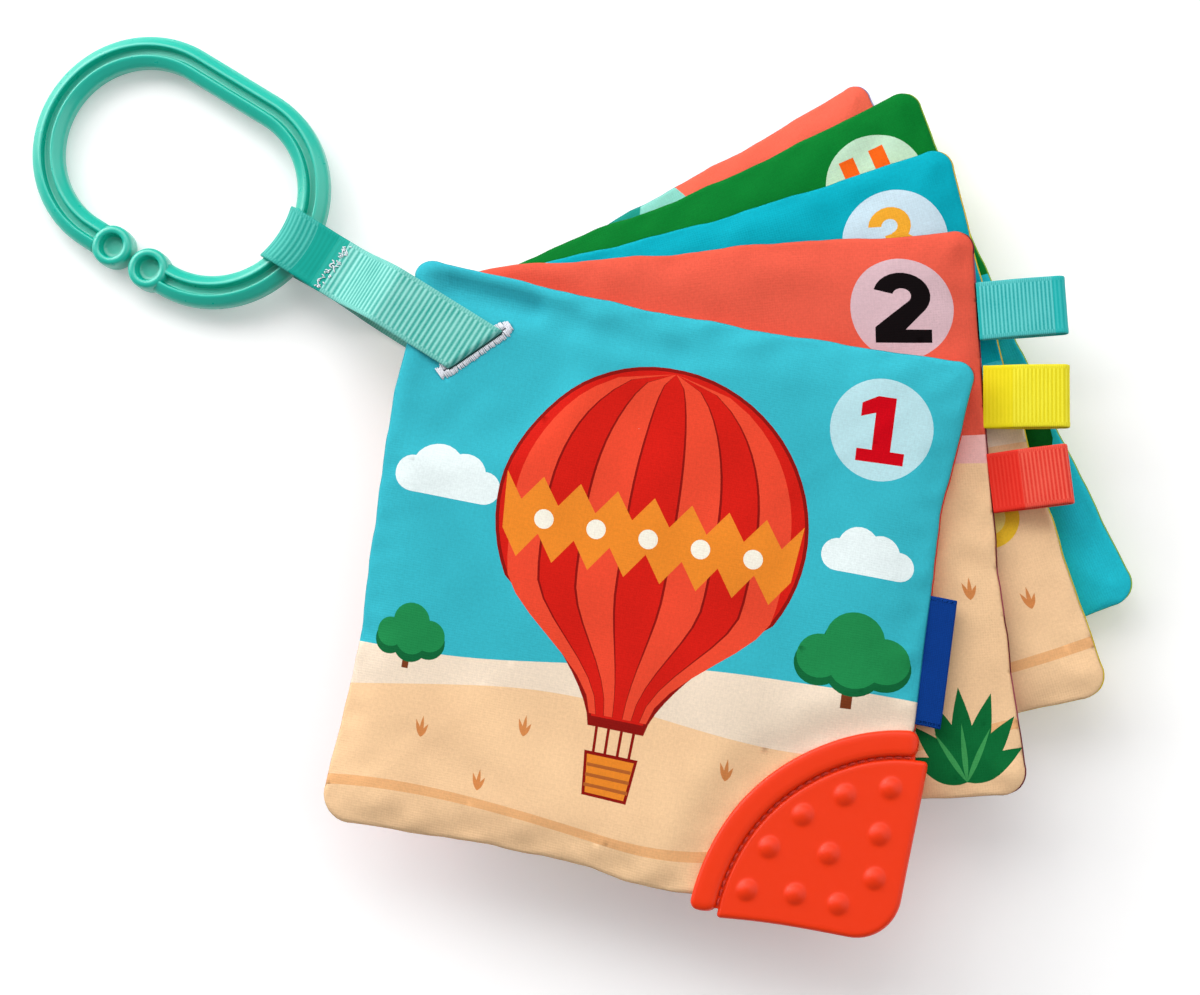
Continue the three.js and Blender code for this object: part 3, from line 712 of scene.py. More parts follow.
def numeral(figure, u, v):
    """A plain bold figure about 17 mm high, round the given middle."""
    bow = band(0, -3.3, 1.95, 5.95, -166, 36)
    half = len(bow) // 2
    foot = shape_of([[0.7, 5.2], [6.1, 5.2], [6.1, 8.6], [-5.6, 8.6], [-5.6, 4.7]])
    parts = {
        1: [shape_of([[-1.6, -8.6], [2.6, -8.6], [2.6, 8.6], [-1.8, 8.6], [-1.8, -4.2], [-5.2, -2.9],
                      [-5.2, -6.4]]), box(-5.4, 5.4, 6.0, 8.6)],
        2: [np.concatenate([bow[:half], foot, bow[half:]])],
        3: [band(-0.3, -4.0, 1.9, 5.0, -165, 85), band(-0.3, 3.4, 2.1, 5.6, -85, 165),
            box(-1.9, -1.9, 1.0, 1.4)],
        4: [box(-6.4, -8.4, -2.6, 1.0), box(-6.4, 0.2, 6.6, 3.8), box(1.4, -8.4, 5.2, 8.6)],
        5: [box(-4.9, -8.5, 5.2, -5.1), shape_of([[-4.9, -8.5], [-1.4, -8.5], [-1.4, 0.6], [-4.9, -0.4]]),
            band(-0.2, 3.0, 2.2, 5.7, -150, 150)],
    }
    wide, tall, lean = {1: (1.04, 0.95, -3), 2: (1.16, 0.96, 4), 3: (1.05, 0.96, 0)}.get(figure, (1, 1, 0))
    return [turn(part * [wide, tall], lean) + [u, v] for part in parts[figure]]


def cloud(u, v, size):
    blobs = [(-9, 1, 5), (-3, -2, 6.5), (4, -1, 6), (10, 1.5, 4.5)]
    drawn = [circle(u + a * size, v + b * size, r * size, 24) for a, b, r in blobs]
    return [("#eaf6f6", shape) for shape in drawn + [box(-9, 0, 10, 6) * size + [u, v]]]


def bush(u, v, size):
    drawn = [(BROWN, bar(u, v, u, v + 15 * size, 3 * size)),
             (BROWN, bar(u, v + 8 * size, u + 7 * size, v, 1.8 * size))]
    for ink, lower, share in (("#0f6638", 1.2, 1), (LEAF_GREEN, -0.4, 0.93)):
        drawn += [(ink, circle(u + a * size, v + b * size + lower, r * size * share, 28))
                  for a, b, r in [(-9, 1, 7), (0, -5, 9), (9, 0, 7.5), (1, 2, 8)]]
    return drawn


def tuft(u, v, size):
    return [("#d98a4e", leaf(u, v, length * size, 1.3 * size, lean))
            for length, lean in [(6, -112), (7, -90), (5, -66)]]


def envelope(u, v, r, grow):
    """The outline of a balloon that narrows to its mouth."""
    a = np.radians(np.linspace(150, 390, 44))
    top = np.column_stack([np.cos(a), np.sin(a)]) * (r + grow)
    t = np.linspace(0, 1, 12)[1:]
    right = np.column_stack([top[-1, 0] + (6 + grow - top[-1, 0]) * (1 - (1 - t) ** 1.5),
                             top[-1, 1] + (r * 1.34 + grow - top[-1, 1]) * t])
    return np.concatenate([top, right, (right * [-1, 1])[::-1]]) + [u, v]


def gore(u, v, r, a, b):
    """One sewn strip of a balloon, between two shares of its half width."""
    t = np.linspace(-1, 1, 24)
    width = np.where(t < 0, np.sqrt(np.clip(1 - t**2, 0, 1)), np.cos(np.clip(t, 0, 1)) ** 0.5)
    width = np.where(t > 0.35, width * (1 - 0.72 * smooth((t - 0.35) / 0.65)), width)
    line = np.column_stack([width * r, t * r * np.where(t < 0, 1, 1.3)])
    return np.concatenate([line * [a, 1], (line * [b, 1])[::-1]]) + [u, v]


def balloon(u, v, r):
    dark, red, bright, orange = "#8e120d", "#d41c12", "#ec4a30", "#ee8a2a"
    drawn = [(dark, envelope(u, v, r, 0.9)), (red, envelope(u, v, r, 0))]
    strips = [(bright, a, b) for a, b in [(-0.92, -0.7), (-0.44, -0.16), (0.16, 0.44), (0.7, 0.92)]]
    strips += [(dark, seam - 0.008, seam + 0.008) for seam in [-0.7, -0.44, -0.16, 0.16, 0.44, 0.7]]
    drawn += [(ink, gore(u, v, r * 0.99, a, b)) for ink, a, b in strips]
    # A zigzag belt with dots, then the mouth, the cords and the basket
    zig, zag = ([[k * r * wide, low + (3.2 if i % 2 else -3.2)] for i, k in enumerate(np.linspace(-1, 1, 17))]
                for wide, low in ((0.985, -3.0), (0.955, 11.0)))
    drawn.append((orange, shape_of(zig + zag[::-1]) + [u, v]))
    drawn += [("#fdf3e3", circle(u + k, v + 4, 2.4, 20)) for k in (-26, -13, 0, 13, 26)]
    drawn.append((dark, bar(u - 6.5, v + r * 1.33, u + 6.5, v + r * 1.33, 2.2)))
    mouth = v + r * 1.35
    drawn += [(dark, bar(u + k, mouth, u + k * 0.95, mouth + 7, 0.7)) for k in (-4.6, -1.6, 1.6, 4.6)]
    base = mouth + 6.5
    drawn.append((dark, shape_of([[-6.6, 0], [6.6, 0], [5.5, 10.5], [-5.5, 10.5]]) + [u, base]))
    drawn.append((orange, shape_of([[-5.8, 0.8], [5.8, 0.8], [4.8, 9.8], [-4.8, 9.8]]) + [u, base]))
    return drawn + [("#b4602a", bar(u - 5.4, base + k, u + 5.4, base + k, 0.8)) for k in (3.2, 5.6, 8.0)]


def kite(u, v, lean, body, half, tail):
    size = 1.5
    parts = [(body, [(0, -11), (7.5, 0), (0, 14), (-7.5, 0)]), (half, [(0, -11), (7.5, 0), (0, 0)]),
             (half, [(0, 14), (-7.5, 0), (0, 0)])]
    drawn = [(ink, turn(shape_of(points) * size, lean) + [u, v]) for ink, points in parts]
    for k in range(4):
        at = turn(np.array([[1.5 * (-1) ** k, 17.5 + 4.6 * k]]) * size, lean)[0] + [u, v]
        drawn.append((tail, leaf(at[0] - 2.4 * size, at[1], 5 * size, 2.6 * size, 14 * (-1) ** k)))
    return drawn


def boat(u, v, size, hull, trim):
    parts = [(hull, [[-12, 0], [12, 0], [7.5, 7], [-7.5, 7]]),
             (trim, [[-11.4, 1], [11.4, 1], [10.4, 2.6], [-10.4, 2.6]]),
             ("#fdf3e3", [[1.4, -18], [11, -3], [1.4, -3]]), ("#fdf3e3", [[-1.4, -14], [-8, -3], [-1.4, -3]])]
    drawn = [(ink, shape_of(points) * size + [u, v]) for ink, points in parts]
    return drawn[:2] + [(trim, bar(u, v, u, v - 19 * size, 1.2 * size))] + drawn[2:]


def apple(u, v, r):
    return [
        (BROWN, bar(u, v - r * 0.7, u + 1.6, v - r * 1.4, 1.5)),
        ("#5fae3a", leaf(u + 1.2, v - r * 1.12, r * 0.95, r * 0.45, -28)),
        ("#e0342a", circle(u - r * 0.33, v, r * 0.78, 30, 1.08)),
        ("#e0342a", circle(u + r * 0.33, v, r * 0.78, 30, 1.08)),
        ("#f7a08f", circle(u - r * 0.45, v - r * 0.3, r * 0.2, 16, 1.5, 25)),
    ]


def flower(u, v, r, petal, eye):
    petals = [circle(u + r * 0.58 * math.cos(a), v + r * 0.58 * math.sin(a), r * 0.42, 20)
              for a in np.radians(60 * np.arange(6) + 15)]
    return [(petal, shape) for shape in petals] + [(eye, circle(u, v, r * 0.34, 20))]


def fern(u, v, size, ink, light):
    leans = [-150, -128, -108, -90, -70, -50, -28]
    drawn = [(ink, leaf(u, v, (13 + 8 * math.sin(k * 0.5)) * size, 5 * size, a)) for k, a in enumerate(leans)]
    return drawn + [(light, leaf(u, v, 13 * size, 1.2 * size, a)) for a in (-118, -90, -62)]


SAND, DUNE, CREAM = "#f9cd9f", "#efb47c", "#f3dfc8"
LEAF_GREEN, BROWN = "#1f8a4c", "#7b3b1e"
# Each page's number: its disc's middle and radius, and the inks of disc and figure
NUMBER_DISCS = [
    (120.4, 20.8, 12.6, "#b9dfe6", "#cc0014"),
    (121.4, 19.2, 12.4, "#d6b5bc", "#0d0608"),
    (121.4, 20.0, 12.8, "#c8dfeb", "#f0aa31"),
    (122.2, 19.3, 12.3, "#bfe0c6", "#ee6216"),
    (120.0, 26.0, 12.2, "#e6c8cc", "#0a8f9c"),
]


def grounds(*rows):
    return [(ink, ground(*line)) for ink, *line in rows]


def many(figure, *places):
    """One figure drawn at each of the given places."""
    return [part for place in places for part in figure(*place)]


def front_art(page):
    """A page's base colour, and its picture as (ink, shape) from the lowest layer up."""
    if page == 1:
        return "#38b6c6", (
            grounds((CREAM, 95, 85, 2.0, 0.4), (SAND, 104, 99, 3.0, 2.2), (DUNE, 131, 124, 2.6, 4.0),
                    (SAND, 133.2, 126.6, 2.4, 3.9))
            + many(cloud, (18, 52, 0.9), (122, 52, 0.8)) + many(bush, (122, 78, 0.85), (15, 92, 0.55))
            + balloon(69, 54, 37.5)
            + many(tuft, (22, 116, 0.75), (38, 126, 0.75), (97, 112, 0.75), (47, 111, 0.75)))
    if page == 2:
        return "#e35b46", (
            grounds(("#f0b9b4", 52, 50, 1.5, 1.0), (SAND, 60, 57, 2.0, 0.6), (DUNE, 127, 122, 2.5, 3.0),
                    (SAND, 129.5, 124.5, 2.5, 3.0))
            + many(kite, (44, 46, -18, "#f4c430", "#fbe08a", "#06776f"),
                   (88, 62, 14, "#0d8d9c", "#74c9cd", "#d43a2f"))
            + many(fern, (126, 136, 1.1, "#0b6b35", "#3f9d56"), (20, 132, 0.9, "#0b6b35", "#3f9d56"))
            + many(tuft, (131, 92, 0.8), (112, 108, 0.8), (60, 112, 0.8)))
    if page == 3:
        return "#02a5b8", (
            grounds(("#37bdd0", 56, 54, 1.4, 2.0), (CREAM, 72, 69, 1.6, 1.0), (SAND, 78, 75, 2.2, 0.2),
                    (DUNE, 128, 124, 2.5, 2.0), (SAND, 130, 126.6, 2.5, 2.0))
            + many(boat, (34, 56, 1.25, "#d8352a", "#7b2018"), (74, 52, 1.25, "#f0aa31", "#8a4a12"),
                   (104, 62, 1.0, LEAF_GREEN, "#0d5a30"))
            + [("#f4c430", circle(124, 92, 7.5)), ("#f9dc7a", circle(124, 92, 4.2, 28)),
               ("#0f8aa0", circle(60, 104, 8))]
            + many(tuft, (128, 116, 0.8), (90, 112, 0.8)))
    if page == 4:
        return "#02772b", (
            grounds(("#22bfd1", 44, 50, 2.5, 0.5))
            + [("#04591c", circle(124, 92, 13, 20)), ("#04591c", circle(112, 96, 9, 16))]
            + many(apple, (34, 72, 12), (66, 62, 12), (90, 84, 12), (50, 98, 12))
            + fern(24, 128, 1.0, "#034b15", LEAF_GREEN))
    return "#f06852", (
        [("#86cbbf", circle(26, 26, 62, 72)), ("#1c9184", circle(62, -3, 12)), ("#1c9184", circle(40, 0, 10))]
        + grounds(("#62bfad", 34, 78, 3.0, 1.5), ("#3f9fae", 104, 112, 3.0, 0.2))
        + many(flower, *((u, v, 12, "#fbe3e0", "#f0aa31")
                         for u, v in [(36, 66), (68, 48), (98, 66), (54, 98), (90, 100)])))


def back_art(page):
    """Plain repeated figures, one kind to a page."""
    grid = [(18 + 26 * i, 18 + 26 * j) for i in range(5) for j in range(5)]
    if page == 1:
        return "#ea5444", [("#f7c7a0", circle(u, v, 5, 28)) for u, v in grid]
    if page == 2:
        base, stripe = "#7e2a3a", "#b7576b"
        return base, [(ink, ground(v - up, v - up, 4, 0, 0)) for v in (122, 96, 70, 44, 18)
                      for ink, up in ((stripe, 0), (base, 12))]
    if page == 3:
        return "#f2d33c", many(flower, *((u, v, 8, "#fdf3e3", "#ee8a2a") for u, v in grid))
    if page == 4:
        leans = (-30, 0, 30)
        return "#a5d048", [("#3f8f3a", leaf(u - 6, v, 13, 6, leans[i % 3])) for i, (u, v) in enumerate(grid)]
    base = "#a9a6dc"
    return base, [(ink, circle(u, v, r, count)) for u, v in grid
                  for ink, r, count in (("#5c63b4", 6.5, 28), (base, 3.6, 24))]


# Pages

# How far a seam wavers, and over what length
WAVER = [(0.22, 27), (0.1, 13), (0.04, 6.1)]


def page_loop(page, tight):
    """The seam line of a page, anticlockwise: rounded corners, and sides that pull in between them
    and waver a little, except in the tight stretches, where a tag or the label is sewn in."""
    rng = np.random.default_rng(40 + page)
    left, right, top, bottom = -HOLE_SIDE, SIDE - HOLE_SIDE, HOLE_TOP, HOLE_TOP - SIDE
    radii = CORNERS[page]
    points = []
    for corner, (x, y) in enumerate([(right, bottom), (right, top), (left, top), (left, bottom)]):
        start = radians(90 * (corner - 1))
        radius, following = radii[corner], radii[(corner + 1) % 4]
        x += radius * (-1 if x > 0 else 1)
        y += radius * (1 if y < 0 else -1)
        for a in np.linspace(start, start + math.pi / 2, 9):
            points.append([x + (radius - 0.2) * math.cos(a), y + (radius - 0.2) * math.sin(a)])
        outward = np.array([math.cos(start + math.pi / 2), math.sin(start + math.pi / 2)])
        along = np.array([-outward[1], outward[0]])
        phases = rng.uniform(0, 6.3, 4)
        for t in np.linspace(0, 1, 84)[1:-1]:
            share = radius / SIDE + t * (1 - (radius + following) / SIDE)
            s = share * SIDE
            window = math.sin(math.pi * t) ** 0.6
            waver = sum(far * math.sin(s * 2 * math.pi / long + phase)
                        for (far, long), phase in zip(WAVER, phases))
            place = PAGE_MIDDLE + along * SIDE * (share - 0.5)
            for low, high in tight if corner == 0 else []:
                if low - 2 < place[1] < high + 2:
                    waver = 0.28
            out = HALF - DRAW_IN * math.sin(math.pi * t) - 0.3 + window * waver
            points.append(list(place + outward * out))
    loop = np.array(points)
    if page != 1:
        return loop
    away = np.hypot(*(loop - TEETHER).T)
    lean = math.asin(3 / FABRIC_ARC)
    angles = np.linspace(math.pi - lean, math.pi / 2 + lean, 48)
    arc = TEETHER + FABRIC_ARC * np.column_stack([np.cos(angles), np.sin(angles)])
    kept = loop[away > FABRIC_ARC + 0.8]
    split = int(np.argmax(np.hypot(*(np.roll(kept, -1, 0) - kept).T)))
    kept = np.roll(kept, -(split + 1), axis=0)
    return np.concatenate([arc, kept])


# A cover's height over the page's middle plane: on the padding, at most, and at the seam's edge
FULL, LIMIT, LEAST = 2.96, 3.12, 0.3


def cover_height(page, points, inset, side):
    """How far a cover stands from the page's middle plane: a rolled edge, a soft rise to the
    padding, a thin flat field round the buttonhole, and puckers that run in from the seam."""
    seam = SEAM / 2
    seed = 10 * page + (0 if side > 0 else 5)
    from_hole = np.hypot(points[:, 0], points[:, 1])
    field = smooth((from_hole - FIELD_RADIUS) / FIELD_BLEND)
    rise = 1 - (1 - np.minimum(inset / (SEAM_ROLL - 2), 1)) ** 2.3
    if page == 1:
        rise = np.minimum(rise, smooth((np.hypot(*(points - TEETHER).T) - TEETHER_RADIUS - 0.3) / 11))
    height = seam + (FIELD / 2 + (FULL - FIELD / 2) * field - seam) * rise
    roll = 1 - (1 - np.minimum(inset / 0.9, 1)) ** 2
    height = LEAST + (height - LEAST) * np.sqrt(np.clip(roll, 0, 1))
    near = np.exp(-inset / 6.5) * (1 - np.exp(-inset / 1.2))
    # By the buttonhole the cover lies flat, and only the turned-in seam stands up round the corner
    turned = 0.6 * np.exp(-(((inset - 2.4) / 1.7) ** 2)) - 0.12 * np.exp(-(((inset - 7.5) / 2.5) ** 2))
    height = height + turned * (1 - field) * (inset > 0.2)
    pucker = ripple(points, seed + 3, 9.0, 9) * near * 0.46
    slack = ripple(points, seed + 7, 30) * 0.3 * rise * field
    crumple = CRUMPLE(points, seed) * 0.55 * rise * (0.25 + 0.75 * field)
    height = height + (pucker * (0.3 + 0.7 * field) + slack + crumple - 0.3 * rise * field)
    if side > 0:
        for start, end, deep, wide in DIMPLES.get(page, []):
            off = off_line(points, start, end)
            height = height - deep * np.exp(-((off / wide) ** 2)) * np.minimum(rise * 2, 1)
    # Above the bend the height nears its limit but never reaches it, so neighbours don't cut in
    bend = LIMIT - 0.3
    height = np.where(height > bend, LIMIT - 0.3 * np.exp(-(height - bend) / 0.3), height)
    height = np.maximum(height, LEAST)
    if page == 5 and side < 0:
        height = np.minimum(height, REST_DEPTH)
    return height


# Folds in the front covers, in the page's frame: start, end, depth, width
DIMPLES = {
    1: [((-4, 10), (22, 11.5), 0.3, 3.0), ((20, 11), (52, 8.5), 1.4, 3.6), ((52, 8.5), (80, 12), 0.5, 3.4),
        ((4, -9), (-6, -26), 0.35, 3.0), ((30, 2), (48, -14), 0.4, 5.0), ((2, -96), (26, -104), 0.4, 4.0)],
    2: [((100, -60), (121, -46), 1.0, 3.0), ((94, -76), (114, -62), 0.6, 3.4), ((20, 8), (60, 3), 0.6, 4.0)],
    3: [((106, -66), (122, -54), 0.6, 3.0), ((90, 8), (108, 14), 0.4, 3.0)],
    4: [((96, 6), (116, 12), 0.5, 3.0)],
}
TRIAL_FRAMES = 20


def simulated_crumple():
    """Creases from a cloth simulation of one page cover, blown up inside its seam, as a height map
    that every page takes at its own turn. The map is only the fine part: the form comes from sizes."""
    count = 46
    step = SIDE / count
    verts, faces = [], []
    index = {}
    for layer in (1, -1):
        for i in range(count + 1):
            for j in range(count + 1):
                d = min(i, j, count - i, count - j) * step
                if layer < 0 and d == 0:
                    index[layer, i, j] = index[1, i, j]
                    continue
                index[layer, i, j] = len(verts)
                z = layer * (0.6 + 1.6 * min(d / SEAM_ROLL, 1)) if d else 0
                verts.append((i * step - HALF, j * step - HALF, z))
        for i in range(count):
            for j in range(count):
                corners = [index[layer, i + a, j + b] for a, b in ((0, 0), (1, 0), (1, 1), (0, 1))]
                faces.append(tuple(corners[::layer]))
    mesh = bpy.data.meshes.new("trial_cover")
    mesh.from_pydata((np.array(verts) / 1000).tolist(), [], faces)
    obj = bpy.data.objects.new("trial_cover", mesh)
    bpy.context.scene.collection.objects.link(obj)
    cloth = obj.modifiers.new("Cloth", "CLOTH")
    for key, value in {
        "quality": 6, "mass": 0.1, "use_pressure": True, "uniform_pressure_force": 4, "tension_stiffness": 20,
        "compression_stiffness": 20, "shear_stiffness": 8, "bending_stiffness": 0.02, "shrink_min": -0.03,
    }.items():
        setattr(cloth.settings, key, value)
    cloth.settings.effector_weights.gravity = 0
    cloth.collision_settings.use_collision = False
    cloth.point_cache.frame_start, cloth.point_cache.frame_end = 1, TRIAL_FRAMES
    scene = bpy.context.scene
    for frame in range(1, TRIAL_FRAMES + 1):
        scene.frame_set(frame)
    shown = obj.evaluated_get(bpy.context.evaluated_depsgraph_get())
    found = np.array([v.co for v in shown.data.vertices]) * 1000
    grid = np.array([[found[index[1, i, j]][2] for j in range(count + 1)] for i in range(count + 1)])
    scene.frame_set(1)
    bpy.data.objects.remove(obj)
    soft = grid.copy()
    for _ in range(10):
        padded = np.pad(soft, 1, mode="edge")
        soft = (padded[:-2, 1:-1] + padded[2:, 1:-1] + padded[1:-1, :-2] + padded[1:-1, 2:] + 2 * soft) / 6
    fine = grid - soft
    fine[[0, -1], :] = fine[:, [0, -1]] = 0
    spread = np.percentile(np.abs(fine), 96)
    if not np.isfinite(spread) or spread < 1e-3:
        return None
    return np.clip(fine / spread, -1, 1) * 0.5


def crumple_lookup(grid):
    """The height of the creases at points of a page, each seed with the map at another turn."""
    if grid is None:
        return lambda points, seed: 0 * points[:, 0]
    count = grid.shape[0] - 1

    def height(points, seed):
        x = (points[:, 0] - PAGE_MIDDLE[0]) / SIDE
        y = (points[:, 1] - PAGE_MIDDLE[1]) / SIDE
        for _ in range(seed % 4):
            x, y = -y, x
        a = np.clip((x + 0.5) * count, 0, count - 1e-6)
        b = np.clip((y + 0.5) * count, 0, count - 1e-6)
        i, j = a.astype(int), b.astype(int)
        s, t = smooth(a - i), smooth(b - j)
        return (grid[i, j] * (1 - s) * (1 - t) + grid[i + 1, j] * s * (1 - t)
                + grid[i, j + 1] * (1 - s) * t + grid[i + 1, j + 1] * s * t)

    return height


CRUMPLE = crumple_lookup(simulated_crumple())


def page_points(loop):
    """Points inside a cover: rows that follow the seam closely, then an even field."""
    points = []
    for inset in (0.35, 0.9, 1.7, 2.8, 4.3):
        row = loop - normals_of(loop) * inset
        points.append(row[distance_to(loop, row) > inset * 0.9])
    step = 2.1
    x = np.arange(-HOLE_SIDE - 1, SIDE - HOLE_SIDE + 1, step)
    y = np.arange(HOLE_TOP - SIDE - 1, HOLE_TOP + 1, step * 0.87)
    field = np.array([[a + (step / 2 if k % 2 else 0), b] for k, b in enumerate(y) for a in x])
    field = field[distance_to(loop, field) > 5.4]
    return np.concatenate(points + [field])


def slot_loop(half_length, half_width):
    """The edge of the buttonhole, with its small round corners, turned to its lean."""
    points = []
    corner = 0.5
    for x, y, start in [(1, -1, -90), (1, 1, 0), (-1, 1, 90), (-1, -1, 180)]:
        a = np.radians(np.linspace(start, start + 90, 4))
        middle = [x * (half_length - corner), y * (half_width - corner)]
        points += list(middle + corner * np.column_stack([np.cos(a), np.sin(a)]))
    return turn(dense(points, 1.4), HOLE_DEGREES)


def art_of(drawn, base, mirror, codes):
    """Printed shapes in the page's X and Y, each with the number of its ink in the page's list."""
    shapes, inks = [], []
    for code, shape in drawn:
        shape = dense(shape)
        u = SIDE - shape[:, 0] if mirror else shape[:, 0]
        flat = np.column_stack([u - HOLE_SIDE, HOLE_TOP - shape[:, 1]])
        keep = np.concatenate([[True], np.hypot(*np.diff(flat, axis=0).T) > 1e-3])
        shapes.append(flat[keep])
        if code not in codes:
            codes.append(code)
        inks.append(codes.index(code))
    return shapes, inks, codes.index(base)


# The stretches of the right side, in Y, where ribbon is sewn into the seam
SEWN = {1: [(-72, -38.5)], 2: [(-12.5, 3.5), (-33.2, -17.2), (-53.2, -37.2)]}
# Half the length and half the width of the slit in each buttonhole
SLOT = (9.9, 1.4)

for page in PAGES:
    base, drawn = front_art(page)
    u, v, r, disc, ink = NUMBER_DISCS[page - 1]
    drawn.append((disc, circle(u, v, r, 56)))
    drawn += [(ink, part) for part in numeral(page, u, v)]
    back_base, back_drawn = back_art(page)
    codes = [base, back_base]
    front = art_of(drawn, base, False, codes)
    back = art_of(back_drawn, back_base, True, codes)
    loop = page_loop(page, SEWN.get(page, []))
    cover = panel(
        f"page_{page}_cloth_cover", loop, slot_loop(*SLOT), front, back, page_points(loop),
        lambda p, way, k=page, l=loop: way * cover_height(k, p, distance_to(l, p), way),
        0.5, [printed_cloth(code) for code in codes], on_page(page), 0.4, lip=0.3)
    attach(cover, f"page_{page}")
    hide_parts(f"page_{page}_front_cover", f"page_{page}_back_cover")

# Padding, hidden in the pages: a mat of wadding under a sheet of crinkle film

# The padding stops this far inside the seams, and is cut off past the buttonhole's field
PADDING_MARGIN = 14.5
PADDING_CUT = 40 * math.sqrt(2)


def padding_loop(page):
    left, right = PADDING_MARGIN - HOLE_SIDE, SIDE - HOLE_SIDE - PADDING_MARGIN
    top, bottom = HOLE_TOP - PADDING_MARGIN, HOLE_TOP - SIDE + PADDING_MARGIN
    corner = [[right, bottom]]
    if page == 1:
        radius = TEETHER_RADIUS + SEAM_ROLL + 2
        lean = math.asin((PADDING_MARGIN + 3) / radius)
        a = np.linspace(math.pi - lean, math.pi / 2 + lean, 24)
        corner = (TEETHER + radius * np.column_stack([np.cos(a), np.sin(a)])).tolist()
    start = [[top + PADDING_CUT, top], [left, left - PADDING_CUT], [left, bottom]]
    return dense(start + corner + [[right, top]], 3.5)


def grid_points(loop, step, insets):
    """Points inside a line: rows at the given distances from it, and an even field within them."""
    xs, ys = (np.arange(low, high, step) for low, high in zip(loop.min(0), loop.max(0)))
    field = np.array([[x, y] for y in ys for x in xs])
    field = field[distance_to(loop, field) > insets[-1] * 0.8]
    inward = normals_of(loop)
    return np.concatenate([field] + [loop - inward * inset for inset in insets])


WADDING = needled_wadding()
FILM = crinkle_film()
MAT_Z, FILM_Z = -0.2, 1.82
BLANK = ([], [], 0)


def mat_height(loop, p, way, page):
    seed = page if way > 0 else page + 9
    edge = np.sqrt(np.clip(1 - (1 - np.minimum(distance_to(loop, p) / 3, 1)) ** 2, 0, 1))
    return MAT_Z + way * (0.3 + 1.15 * edge + 0.06 * ripple(p, seed, 14) * edge)


for page in PAGES:
    loop = padding_loop(page)
    points = grid_points(loop, 5, [0.5, 1.5, 3.0])
    mat = panel(f"page_{page}_wadding_mat", loop, None, BLANK, BLANK, points,
                lambda p, way, k=page, l=loop: mat_height(l, p, way, k), 0.2, [WADDING], on_page(page), MAT_Z)
    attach(mat, f"page_{page}")
    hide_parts(f"page_{page}_wadding")
    film = panel(f"page_{page}_crinkle_sheet", loop, None, BLANK, BLANK, points,
                 lambda p, way, k=page: FILM_Z + 0.13 * ripple(p, k + 30, 11) + way * 0.06,
                 0.0, [FILM], on_page(page), FILM_Z)
    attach(film, f"page_{page}")
    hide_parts(f"page_{page}_crinkle_film")

# Satin stitching round each buttonhole

WHITE = sewing_thread("white_twisted_polyester_thread", "#eceef6")
CORAL_THREAD = sewing_thread("coral_twisted_polyester_thread", "#e2341c")


# Half the length of the stitched edge, from stitch to stitch along it, and from tack to tack
SATIN_REACH, SATIN_PITCH, TACK_PITCH = 9.3, 0.4, 0.36


def satin_paths(seed):
    """Stitches that wrap the buttonhole's edge side by side, and bar tacks across its two ends."""
    rng = np.random.default_rng(seed)
    paths = []
    for way in (1, -1):
        for a in np.arange(-SATIN_REACH, SATIN_REACH + 0.05, SATIN_PITCH):
            # Past the ribbon's edges the slot is drawn nearly shut
            shut = 0.55 * float(smooth((abs(a) - 7.5) / 0.8))
            end = 1.45 + shut + rng.uniform(-0.14, 0.16)
            slant = rng.uniform(-0.15, 0.15)
            for level in (1, -1):
                line = [(end, 0.72), (end - 0.12, 1.05), (0.6, 1.25), (0.25, 1.2), (0.12, 0.9), (0.1, 0.0)]
                paths.append([(a + slant * q, way * (0.7 - shut + q), level * z) for q, z in line])
    for end in (1, -1):
        for a in np.arange(SATIN_REACH + 0.1, SATIN_REACH + 1.45, TACK_PITCH):
            reach = 1.6 + rng.uniform(-0.3, 0.25)
            lean = rng.uniform(-0.1, 0.1)
            line = [(-reach, 0.75), (0.2 - reach, 1.1), (-0.7, 1.3), (0.7, 1.3), (reach - 0.2, 1.1),
                    (reach, 0.75)]
            for level in (1, -1):
                paths.append([(end * (a + lean * y), y, level * z) for y, z in line])
    return paths


for page in PAGES:
    satin = tubes(f"page_{page}_satin_stitches", satin_paths(page), 0.2, [WHITE],
                  on_page(page, HOLE_DEGREES), up=(1, 0, 0))
    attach(satin, f"page_{page}")
    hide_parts(f"page_{page}_buttonhole_stitching")

# Ribbon strap

# The zigzag line along the strap, with the ribbon's height at its start, end and middle
STITCH_START, STITCH_MID, STITCH_END = 43.6, 46.6, 49.6
FIRST_Z, LAST_Z, STITCH_Z, FALL = 12.938, 11.662, 12.3, 0.638
LAYER = 1.0
# The eye round the ring's bar: its middle, where the ribbon leaves it, and the radius of the
# ribbon's middle line
EYE_X, EYE_Z, EYE_LEAVE = 59.65, 6.249, 140
EYE_RADIUS = 5.85
# The ribbon's ends follow the slant of the slots that they go through, over this length
SLIT_LEAN, LOWER_LEAN, LEAN_LENGTH = 0.441, -0.281, 15
END_BEND = 0.8


def curve(steps, *points):
    """A Bezier curve."""
    t = np.linspace(0, 1, steps)[:, None]
    points = [np.array(p, float) for p in points]
    while len(points) > 1:
        points = [a * (1 - t) + b * t for a, b in zip(points, points[1:])]
    return points[0]


def arc_line(x, z, radius, start, end, steps=30):
    a = np.radians(np.linspace(start, end, steps))
    return np.column_stack([x + radius * np.cos(a), z + radius * np.sin(a)])


